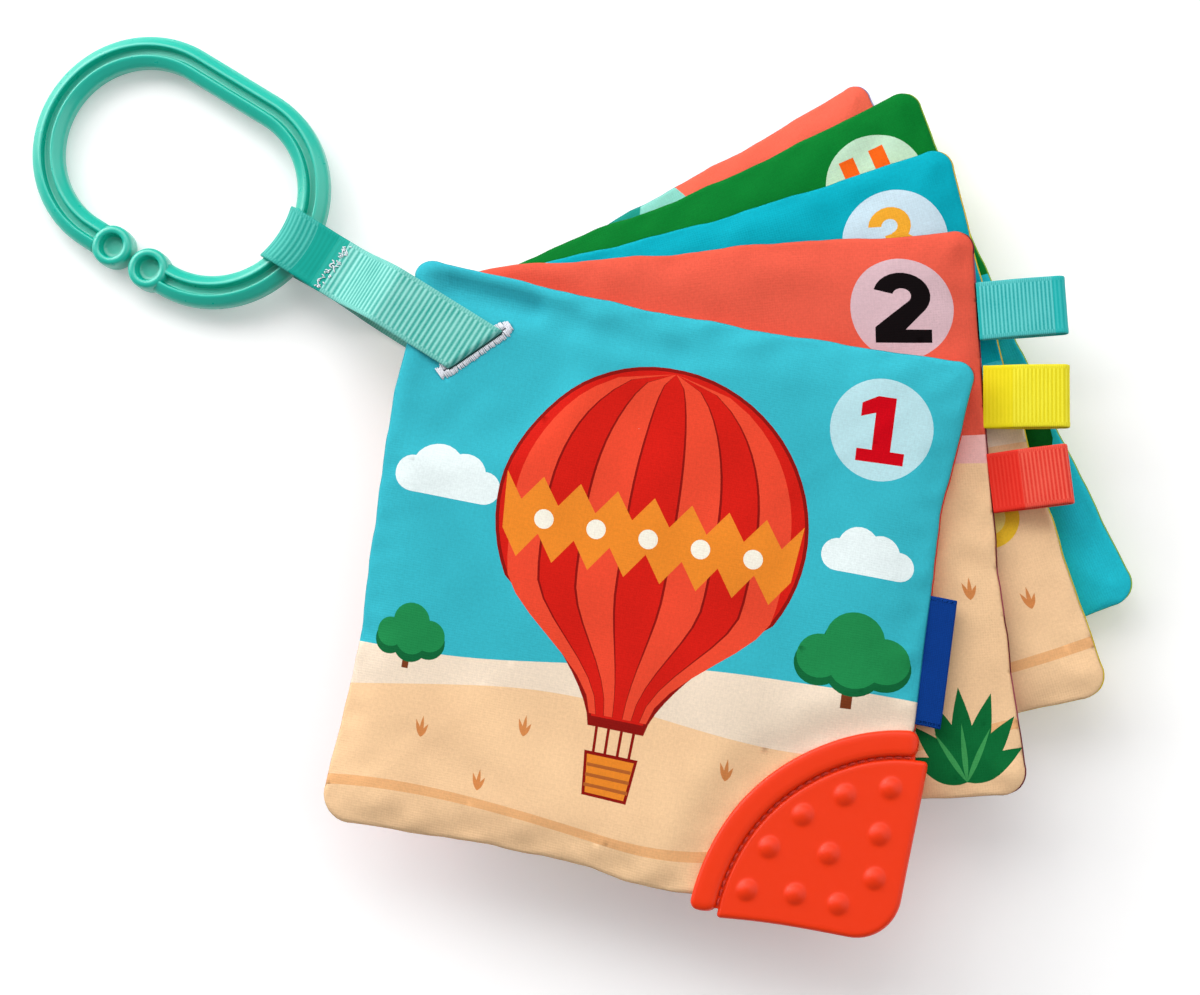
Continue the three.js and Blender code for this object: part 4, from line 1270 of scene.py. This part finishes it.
def upper_line():
    leave = arc_line(EYE_X, EYE_Z, EYE_RADIUS, 90, -EYE_LEAVE, 60)
    lift = leave[-1]
    # Straight on from where the ribbon leaves the eye, two layers under the zigzag
    low = LAST_Z - 2 * LAYER
    control = [lift[0] + (lift[1] - low) * math.tan(radians(180 - EYE_LEAVE)), low]
    return np.concatenate([
        [[0.1, 24.95]],
        arc_line(END_BEND + 0.1, TOP_Z - END_BEND, END_BEND, 180, 90, 10),
        curve(40, (25, TOP_Z), (31, TOP_Z), (STITCH_START - 6, FIRST_Z + FALL), (STITCH_START, FIRST_Z)),
        curve(24, (STITCH_END, LAST_Z), ((STITCH_END + EYE_X) / 2, EYE_Z + EYE_RADIUS),
              (EYE_X, EYE_Z + EYE_RADIUS)),
        leave[1:],
        curve(24, lift, control, (STITCH_START, FIRST_Z - 2 * LAYER))[1:],
    ])


def lower_line():
    z = RIBBON_THICK / 2
    under = FIRST_Z - LAYER
    return np.concatenate([
        [[0, 5.65]],
        arc_line(END_BEND, z + END_BEND, END_BEND, 180, 270, 10),
        curve(40, (27, z), (39, z), (STITCH_START - 6, under + FALL), (STITCH_START, under)),
        [[STITCH_MID, STITCH_Z - LAYER]],
    ])


# The ribbon's deep valley tone is painted shade and its pale ridge tone a painted highlight
TEAL_RIBBON = grosgrain("teal_grosgrain_ribbon", "#12998c", "#94dad0")
# In the ring's eye and on its way back under it the ribbon takes a copy with darker ridges: painted shade
# where it turns away from the light
TEAL_LOOP_SHADED = grosgrain("teal_grosgrain_ribbon_shaded_in_the_eye", "#0c9689", "#4dbbae")
# From the zigzag to the eye the ribs are pressed nearly flat in the geometry, and the deeper, even teal there
# is painted shade where the strap slopes down to the ring
TEAL_PRESSED_SHADED = grosgrain("teal_grosgrain_ribbon_pressed_flat_and_shaded", "#009a8b", "#06a394")
# Past this length the ribbon is on its way back under the eye
UPPER_RUN = 80
upper = ribbon(
    "strap_upper_ribbon", upper_line(), RIBBON_WIDTH, RIBBON_THICK, [TEAL_RIBBON, TEAL_PRESSED_SHADED, TEAL_LOOP_SHADED],
    strap_to_row,
    rib=0.1,
    ribs=lambda x, s: 1 - 0.96 * smooth((x - 44.5) / 1.5) * (1 - smooth((x - 55) / 1.5)),
    pressed=lambda x, s: np.where(s >= UPPER_RUN, 2, np.where(x < 46.2, 0, np.where(x < 55.5, 1, 2))),
    stretch=lambda x, s: 1 + 0.45 * smooth((x - 25) / 6) * (1 - smooth((x - 42) / 3)) * (s < UPPER_RUN),
    lean=lambda x, s: SLIT_LEAN * (1 - smooth(x / LEAN_LENGTH)),
    bow=lambda x, s: smooth((x - STITCH_END) / 6),
)
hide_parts("strap_upper_run")
spots = strap_to_row(np.array([[14.0, 0, TOP_Z], [1.2, 0, TOP_Z]])) / 1000
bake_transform(upper)

lower = ribbon(
    "strap_return_ribbon", lower_line(), RIBBON_WIDTH, RIBBON_THICK, [TEAL_RIBBON], strap_to_row,
    rib=0.12, lean=lambda x, s: LOWER_LEAN * (1 - smooth(x / LEAN_LENGTH)),
)
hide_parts("strap_return_run")
spots = strap_to_row(np.array([[14.0, 0, 0.35], [1.2, 0, 0.35]])) / 1000
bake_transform(lower)

# Between the pages the same ribbon stands in the buttonholes and turns a little from each to the next
for page in (2, 3, 4):
    line = np.array([[0.0, -3.15], [0.0, 3.15]])
    above = (FAN[page - 2] - FAN[page - 1]) / 2
    below = (FAN[page] - FAN[page - 1]) / 2

    def twisted(p, k=page, up=above, down=below):
        share = p[:, 2] / 3.2
        lean = np.where(share > 0, up * smooth(share), down * smooth(-share)) + HOLE_DEGREES + FAN[k - 1]
        a = np.radians(lean)
        x = PIVOT[0] + p[:, 1] * np.cos(a) - p[:, 0] * np.sin(a)
        y = PIVOT[1] + p[:, 1] * np.sin(a) + p[:, 0] * np.cos(a)
        return np.column_stack([x, y, p[:, 2] + page_mid(k)])

    neck = ribbon(f"strap_neck_ribbon_{page}", line, RIBBON_WIDTH, RIBBON_THICK, [TEAL_RIBBON], twisted,
                  rib=0.1)
    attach(neck, f"page_{page}")
    if page == 2:
        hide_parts("strap_neck")


def stitch_surface(x):
    """The height of the ribbon's upper face by the zigzag line."""
    return STITCH_Z - (x - STITCH_MID) * math.tan(radians(12)) + RIBBON_THICK / 2 + 0.12


def zigzag_paths():
    """A worn zigzag across the strap: only short bits of its thread stand clear of the ribs."""
    rng = np.random.default_rng(12)
    paths = []
    for y in np.arange(-6.6, 6.7, 0.4):
        for _ in range(2):
            middle = STITCH_MID + rng.uniform(-1.0, 1.0) + 0.1 * y
            length = rng.uniform(0.45, 1.25)
            lean = rng.uniform(-0.9, 0.9)
            line = []
            for t in np.linspace(-0.5, 0.5, 5):
                x = middle + length * t * math.cos(lean)
                across = y + rng.uniform(0, 0.02) + length * t * math.sin(lean)
                line.append((x, across, stitch_surface(x) + 0.1 * math.cos(math.pi * t) - 0.02))
            if rng.uniform() < 0.7:
                paths.append(line)
    return paths


zigzag = tubes("strap_zigzag_thread", zigzag_paths(), 0.16, [WHITE], strap_to_row)
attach(zigzag, "strap")
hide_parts("strap_zigzag_stitching")

# Link ring, an open loop of grooved bar with a recessed disc at each end

STRAIGHT = 23.8
NEAR_X = 59 + BEND - EYE_X
FAR_X = NEAR_X + STRAIGHT
GAP_X = (NEAR_X + FAR_X) / 2 - 1.8
END_X = 5.8
TILT = math.asin((EYE_Z - 3.3) / (STRAIGHT + 2 * BEND + 4.1))
# The ring hangs this far out in the ribbon's eye
RING_OUT = 0.5


def ring_to_row(p):
    x = p[:, 0] * math.cos(TILT) + p[:, 2] * math.sin(TILT) + EYE_X + RING_OUT
    z = -p[:, 0] * math.sin(TILT) + p[:, 2] * math.cos(TILT) + EYE_Z
    return strap_to_row(np.column_stack([x, p[:, 1], z]))


def ring_mesh():
    reach = END_X + 3.9
    line = [(x, BEND) for x in np.linspace(GAP_X + reach, FAR_X, 5)]
    line += arc_line(FAR_X, 0, BEND, 90, -90, 57)[1:].tolist()
    line += [(x, -BEND) for x in np.linspace(FAR_X, NEAR_X, 9)[1:]]
    line += arc_line(NEAR_X, 0, BEND, -90, -270, 57)[1:].tolist()
    line += [(x, BEND) for x in np.linspace(NEAR_X, GAP_X - reach, 5)[1:]]
    line = np.array(line)
    along = np.gradient(line, axis=0)
    along /= np.linalg.norm(along, axis=1)[:, None]
    path = np.column_stack([line, np.zeros(len(line))])
    across = np.column_stack([-along[:, 1], along[:, 0], np.zeros(len(line))])
    upright = np.tile([0.0, 0.0, 1.0], (len(line), 1))
    half = [(-4.1, 0.7), (-4.05, 1.3), (-3.5, 2.05), (-2.7, 2.7), (-1.95, 3.2), (-1.45, 3.3), (-1.16, 3.12),
            (-1.04, 2.4), (-0.98, 1.5), (-0.75, 1.15), (0, 1.1), (0.75, 1.15), (0.98, 1.5), (1.04, 2.4),
            (1.16, 3.12), (1.45, 3.3), (1.95, 3.2), (2.7, 2.7), (3.5, 2.05), (4.05, 1.3), (4.1, 0.7)]
    section = rounded_curve(half + [(x, -z) for x, z in half[::-1]], 3)
    verts, faces = sweep(path, across, upright, section)
    # Each end of the loop is a cup: (radius, height) from its recessed middle out over its rim
    profile = [(0, 0.4), (1.6, 0.4), (2.6, 0.45), (2.95, 0.8), (3.05, 2.0), (3.15, 3.1), (3.4, 3.45),
               (4.2, 3.5), (4.85, 3.3), (5.2, 2.8), (5.3, 1.4), (5.3, 0)]
    profile += [(r, -z) for r, z in profile[-2::-1]]
    count = 44
    for side in (1, -1):
        start, rows = len(verts), len(profile) - 2
        x = GAP_X + side * END_X
        for r, z in profile[1:-1]:
            for a in 2 * math.pi * np.arange(count) / count:
                verts.append(np.array([x + r * math.cos(a), BEND + r * math.sin(a), z]))
        faces += wrapped(start, rows, count)
        for row, z in ((0, profile[0][1]), (rows - 1, profile[-1][1])):
            verts.append(np.array([x, BEND, z]))
            first = start + row * count
            faces += [(first + k, first + (k + 1) % count, len(verts) - 1) for k in range(count)]
    return np.array(verts), faces


TEAL_PLASTIC = moulded("teal_injection_moulded_polypropylene", "#00bca5", 0.3, 300, 0.03, soft=0.0, gloss=0.9)
verts, faces = ring_mesh()
ring = make_object("link_ring_bar", ring_to_row(verts), faces, [TEAL_PLASTIC])
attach(ring, "ring")
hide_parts("link_ring")

# Teether in the corner of the top page

RUBBER = moulded("coral_red_satin_silicone_rubber", "#f23600", 0.42, 600, 0.03, soft=0.04, gloss=0.3)
PLATE_RADIUS = 42.6
PLATE_FACE = 1.7
# The ten domes, as shares of the plate's radius and degrees round its corner
DOME_PLACES = [(0.87, 11), (0.875, 28), (0.87, 44.5), (0.855, 61), (0.84, 78),
               (0.61, 17), (0.61, 44), (0.6, 72), (0.375, 26), (0.375, 64)]
DOMES = [(-share * PLATE_RADIUS * math.cos(radians(a)), share * PLATE_RADIUS * math.sin(radians(a)))
         for share, a in DOME_PLACES]
BAND_RADIUS, SEAM_RADIUS = 46.4, 42.9


TEETHER_TO_ROW = on_page(1, 0, TEETHER)


def arc_sweep(radius, section, margins, round_off):
    """A section carried round the teether's corner, its two ends rounded off."""
    high, low = (math.asin(margin / radius) for margin in margins)
    a = np.linspace(math.pi / 2 + high, math.pi - low, 90)
    extra = np.array([0, 0.12, 0.4, 0.8, 1.3, 1.9, 2.6]) / radius
    inner = a[(a > a[0] + extra[-1]) & (a < a[-1] - extra[-1])]
    a = np.unique(np.concatenate([a[0] + extra, a[-1] - extra, inner]))
    size = np.ones(len(a))
    if round_off:
        away = np.minimum(a - a[0], a[-1] - a) * radius
        size = np.sqrt(np.clip(1 - (1 - np.minimum(away / round_off, 1)) ** 2, 0, 1)) * 0.75 + 0.25
    verts = [[math.cos(angle) * (radius + x * k), math.sin(angle) * (radius + x * k), z * (0.5 + 0.5 * k)]
             for angle, k in zip(a, size) for x, z in section]
    return verts, len(a), len(section)


def band_section():
    top = [(3.1, 1.05), (3.1, 1.5), (2.95, 2.0), (2.6, 2.36), (2.1, 2.5), (1.0, 2.5), (-1.2, 2.5),
           (-2.3, 2.46), (-2.8, 2.25), (-3.06, 1.85), (-3.1, 1.3)]
    return top + [(x, -z) for x, z in top[::-1]] + [(-1.75, -1.05), (-1.75, 1.05)]


def plate_loop():
    turn_in = 0.9
    lean = math.asin(turn_in / PLATE_RADIUS)
    a = np.linspace(math.pi / 2 + lean, math.pi - lean, 60)
    arc = PLATE_RADIUS * np.column_stack([np.cos(a), np.sin(a)])
    left = arc[-1] * [1, 0] + [turn_in, 0]
    b = np.linspace(math.pi, 1.5 * math.pi, 7)[1:]
    low = np.column_stack([left[0] + turn_in * np.cos(b), turn_in + turn_in * np.sin(b)])
    c = np.linspace(-math.pi / 2, 0, 14)
    corner = np.array([-10.8, 10.8]) + 10.8 * np.column_stack([np.cos(c), np.sin(c)])
    d = np.linspace(0, math.pi / 2, 7)[:-1]
    high = np.column_stack([-turn_in + turn_in * np.cos(d), arc[0, 1] - turn_in + turn_in * np.sin(d)])
    return dense(np.concatenate([arc, low, corner, high]), 1.2)


def plate_height(p):
    inset = distance_to(PLATE, p)
    height = PLATE_FACE - 1 + np.sqrt(np.clip(1 - (1 - np.minimum(inset, 1)) ** 2, 0, 1))
    for x, y in DOMES:
        r = np.hypot(p[:, 0] - x, p[:, 1] - y)
        dome = 0.95 * (1 - (r / 2.6) ** 2)
        height = height + np.where(r < 2.3, dome, 0.206 * np.clip((3.1 - r) / 0.8, 0, 1) ** 1.9)
    return height


def plate_points():
    rows = [PLATE - normals_of(PLATE) * inset for inset in (0.12, 0.3, 0.6, 1.0, 1.8)]
    field = grid_points(PLATE, 2.2, [2.4])
    rings = []
    a = np.linspace(0, 2 * math.pi, 28, endpoint=False)
    for x, y in DOMES:
        rings.append([[x, y]])
        for r in (0.45, 0.9, 1.35, 1.75, 2.05, 2.3, 2.55, 2.8, 3.1, 3.7):
            rings.append(np.column_stack([x + r * np.cos(a), y + r * np.sin(a)]))
        field = field[np.hypot(field[:, 0] - x, field[:, 1] - y) > 4.7]
    return np.concatenate(rows + rings + [field])


PLATE = plate_loop()
plate = panel("teether_plate", PLATE, None, BLANK, BLANK, plate_points(),
              lambda p, way: way * plate_height(p), 0.0, [RUBBER], TEETHER_TO_ROW, 0.0, 0.07)
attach(plate, "page_1")
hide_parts("teether")
# The raised band, and in the groove between it and the plate the strip that the thread goes through
verts, faces = [], []
for points, rows, count in (
    arc_sweep(BAND_RADIUS, band_section(), (3.0, 1.4), 2.2),
    arc_sweep(SEAM_RADIUS, [(-1.9, -1.0), (1.7, -1.0), (1.7, 1.0), (-1.9, 1.0)], (3.2, 2.2), 0),
):
    faces += capped(len(verts), rows, count)
    verts += points
rim = make_object("teether_band", TEETHER_TO_ROW(np.array(verts)), faces, [RUBBER])
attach(rim, "page_1")


def groove_stitches():
    paths = []
    rng = np.random.default_rng(5)
    for level in (1, -1):
        for a in np.arange(95.5, 174.5, 2.9):
            width = 2.1 + rng.uniform(-0.15, 0.15)
            line = []
            for t in np.linspace(0, 1, 6):
                b = radians(a + width * t)
                z = level * (1.02 + 0.32 * math.sin(math.pi * t) ** 0.5)
                line.append(((SEAM_RADIUS + 0.05) * math.cos(b), (SEAM_RADIUS + 0.05) * math.sin(b), z))
            paths.append(line)
    return paths


sewn = tubes("teether_thread", groove_stitches(), 0.24, [CORAL_THREAD], TEETHER_TO_ROW)
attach(sewn, "page_1")
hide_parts("teether_stitching")

# Ribbon tags and the side label


def sewn_on(page, root, lean=0):
    """On a page, with the tape's own X running out from the seam at its root."""
    return on_page(page, lean, turn(np.array([root]) - PIVOT, -FAN[page - 1])[0])


def folded(top, x, radius, steps):
    """A tape's line: out along its top, round the fold, and back."""
    return np.concatenate([top, arc_line(x, 0, radius, 90, -90, steps)[1:-1], (top * [1, -1])[::-1]])


def tag_line(reach):
    tip = reach - 1.75
    x = np.linspace(-0.55, tip, 24)
    t = (x + 0.55) / (tip + 0.55)
    z = 0.36 + 1.09 * smooth(t * 1.8) + 0.15 * np.sin(math.pi * t)
    return folded(np.column_stack([x, z]), tip, 1.45, 18)


# Colour, root, reach, width, lean, tones of the ribs (the valley tone painted shade, the ridge tone a painted
# highlight), tones pressed flat, and how far it lies flat
TAGS = [
    ("teal", (99.5, 50.8), 20.8, 14.4, -1.4, ("#069a9b", "#66cfcc"), ("#0aa9a8", "#35bbb9"), 0.0),
    ("yellow", (104.85, 30.05), 20.2, 15.6, -5.3, ("#dccb00", "#f4ea38"), ("#e6d400", "#f0e01c"), 6.5),
    ("red", (110.54, 9.37), 18.9, 14.7, 1.5, ("#dc281c", "#f2604c"), ("#e0200f", "#ec3828"), 7.0),
]
TAG_PITCH = 0.95


def tag_pressed(x, calm, reach):
    """Where a tag lies flat: by its seam, or else, when it has no such length, at its fold."""
    return (x < calm) | ((x > reach - 3.2) & (calm == 0))


def tag_ribs(x, calm, reach):
    by_seam = 0.25 + 0.75 * smooth((x - calm) / 1.2) if calm else 1
    return by_seam * (1 - 0.9 * smooth((x - reach + 3.5) / 0.8))


for colour, root, reach, width, lean, ribbed, flat_tones, calm in TAGS:
    looks = [grosgrain(f"{colour}_grosgrain_tag_ribbon", *ribbed, TAG_PITCH, width),
             grosgrain(f"{colour}_tag_pressed_flat", *flat_tones, TAG_PITCH, width)]
    tag = ribbon(
        f"tag_{colour}_ribbon", tag_line(reach), width, 0.6, looks, sewn_on(2, root, lean), pitch=TAG_PITCH,
        columns=11, pressed=lambda x, s, c=calm, r=reach: tag_pressed(x, c, r),
        ribs=lambda x, s, c=calm, r=reach: tag_ribs(x, c, r),
    )
    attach(tag, f"{colour}_tag")
    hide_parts(f"tag_{colour}")


NAVY = woven_tape("navy_woven_damask_tape", "#073b8c")
LABEL_REACH = 6.2
label_top = np.column_stack([np.linspace(-0.5, LABEL_REACH, 12), np.full(12, 0.17)])
label = ribbon("side_label_tape", folded(label_top, LABEL_REACH, 0.17, 8), 33.5, 0.26, [NAVY],
               sewn_on(1, (102.5, -38.6)), rib=0.03, columns=15, selvedge=0.5, pitch=1.2)
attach(label, "label")
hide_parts("side_label")

# Camera, floor and light

camera = bpy.data.cameras.new("camera")
camera.lens = 118.27
camera.sensor_width = 36
view = bpy.data.objects.new("camera", camera)
# The camera's own right, up and back, in the row's frame
axes = (0.96732, 0.200277, -0.155504), (-0.179593, 0.974099, 0.137398), (0.178994, -0.10498, 0.978233)
matrix = Matrix([(*row, 0) for row in zip(*axes)] + [(0, 0, 0, 1)])
view.matrix_world = Matrix.Translation((0.189822, -0.113587, 0.961354)) @ matrix
camera.clip_start, camera.clip_end = 0.05, 20
bpy.context.scene.collection.objects.link(view)
bpy.context.scene.camera = view

# Matt white paper. To the camera it adds a little of its own light, so that it reads as a plain
# pale ground; the object is lit by the lamps alone, and its shadow stays.
paper, tree, shader = new_material("matt_white_paper", {
    "Roughness": 0.9, "Specular IOR Level": 0.1, "Emission Color": (1, 1, 1, 1)})
where = add(tree, "TexCoord").outputs["Object"]
fibre = add(tree, "TexNoise", {"Vector": where, "Scale": 300, "Detail": 3.0})
path = add(tree, "LightPath").outputs
seen = add(tree, "Math", {0: path["Is Camera Ray"], 1: path["Is Glossy Ray"]}, operation="MAXIMUM")
feed(tree, shader, {
    "Base Color": add(tree, "Mix", {0: fibre, 6: linear("#f2f2f2"), 7: linear("#f8f8f8")}, data_type="RGBA"),
    "Emission Strength": add(tree, "Math", {0: seen, 1: 0.22}, operation="MULTIPLY")})
FLOOR = 3000
corners = [(x * FLOOR, y * FLOOR, -0.05) for x, y in ((-1, -1), (1, -1), (1, 1), (-1, 1))]
floor = make_object("floor", corners, [(0, 1, 2, 3)], [paper])


def lamp(name, place, size, power):
    """A round soft lamp that faces the middle of the book."""
    data = bpy.data.lights.new(name, "AREA")
    data.shape, data.size, data.energy = "DISK", size, power
    obj = bpy.data.objects.new(name, data)
    obj.location = place
    obj.rotation_mode = "QUATERNION"
    obj.rotation_quaternion = (-Vector(place)).to_track_quat("-Z", "Y")
    bpy.context.scene.collection.objects.link(obj)


lamp("key_upper_left", (-0.95, 0.75, 0.8), 1.4, 13.0)
lamp("low_left", (-1.3, 0.6, 0.45), 1.4, 12.0)
lamp("fill_right", (1.1, 0.5, 1.0), 1.9, 10.0)
lamp("top_soft", (-0.1, 1.0, 1.35), 1.2, 8.0)

world = bpy.data.worlds.new("studio")
world.use_nodes = True
world.node_tree.nodes["Background"].inputs["Color"].default_value = (1, 1, 1, 1)
world.node_tree.nodes["Background"].inputs["Strength"].default_value = 0.27
bpy.context.scene.world = world
bpy.context.scene.view_settings.view_transform = "Standard"
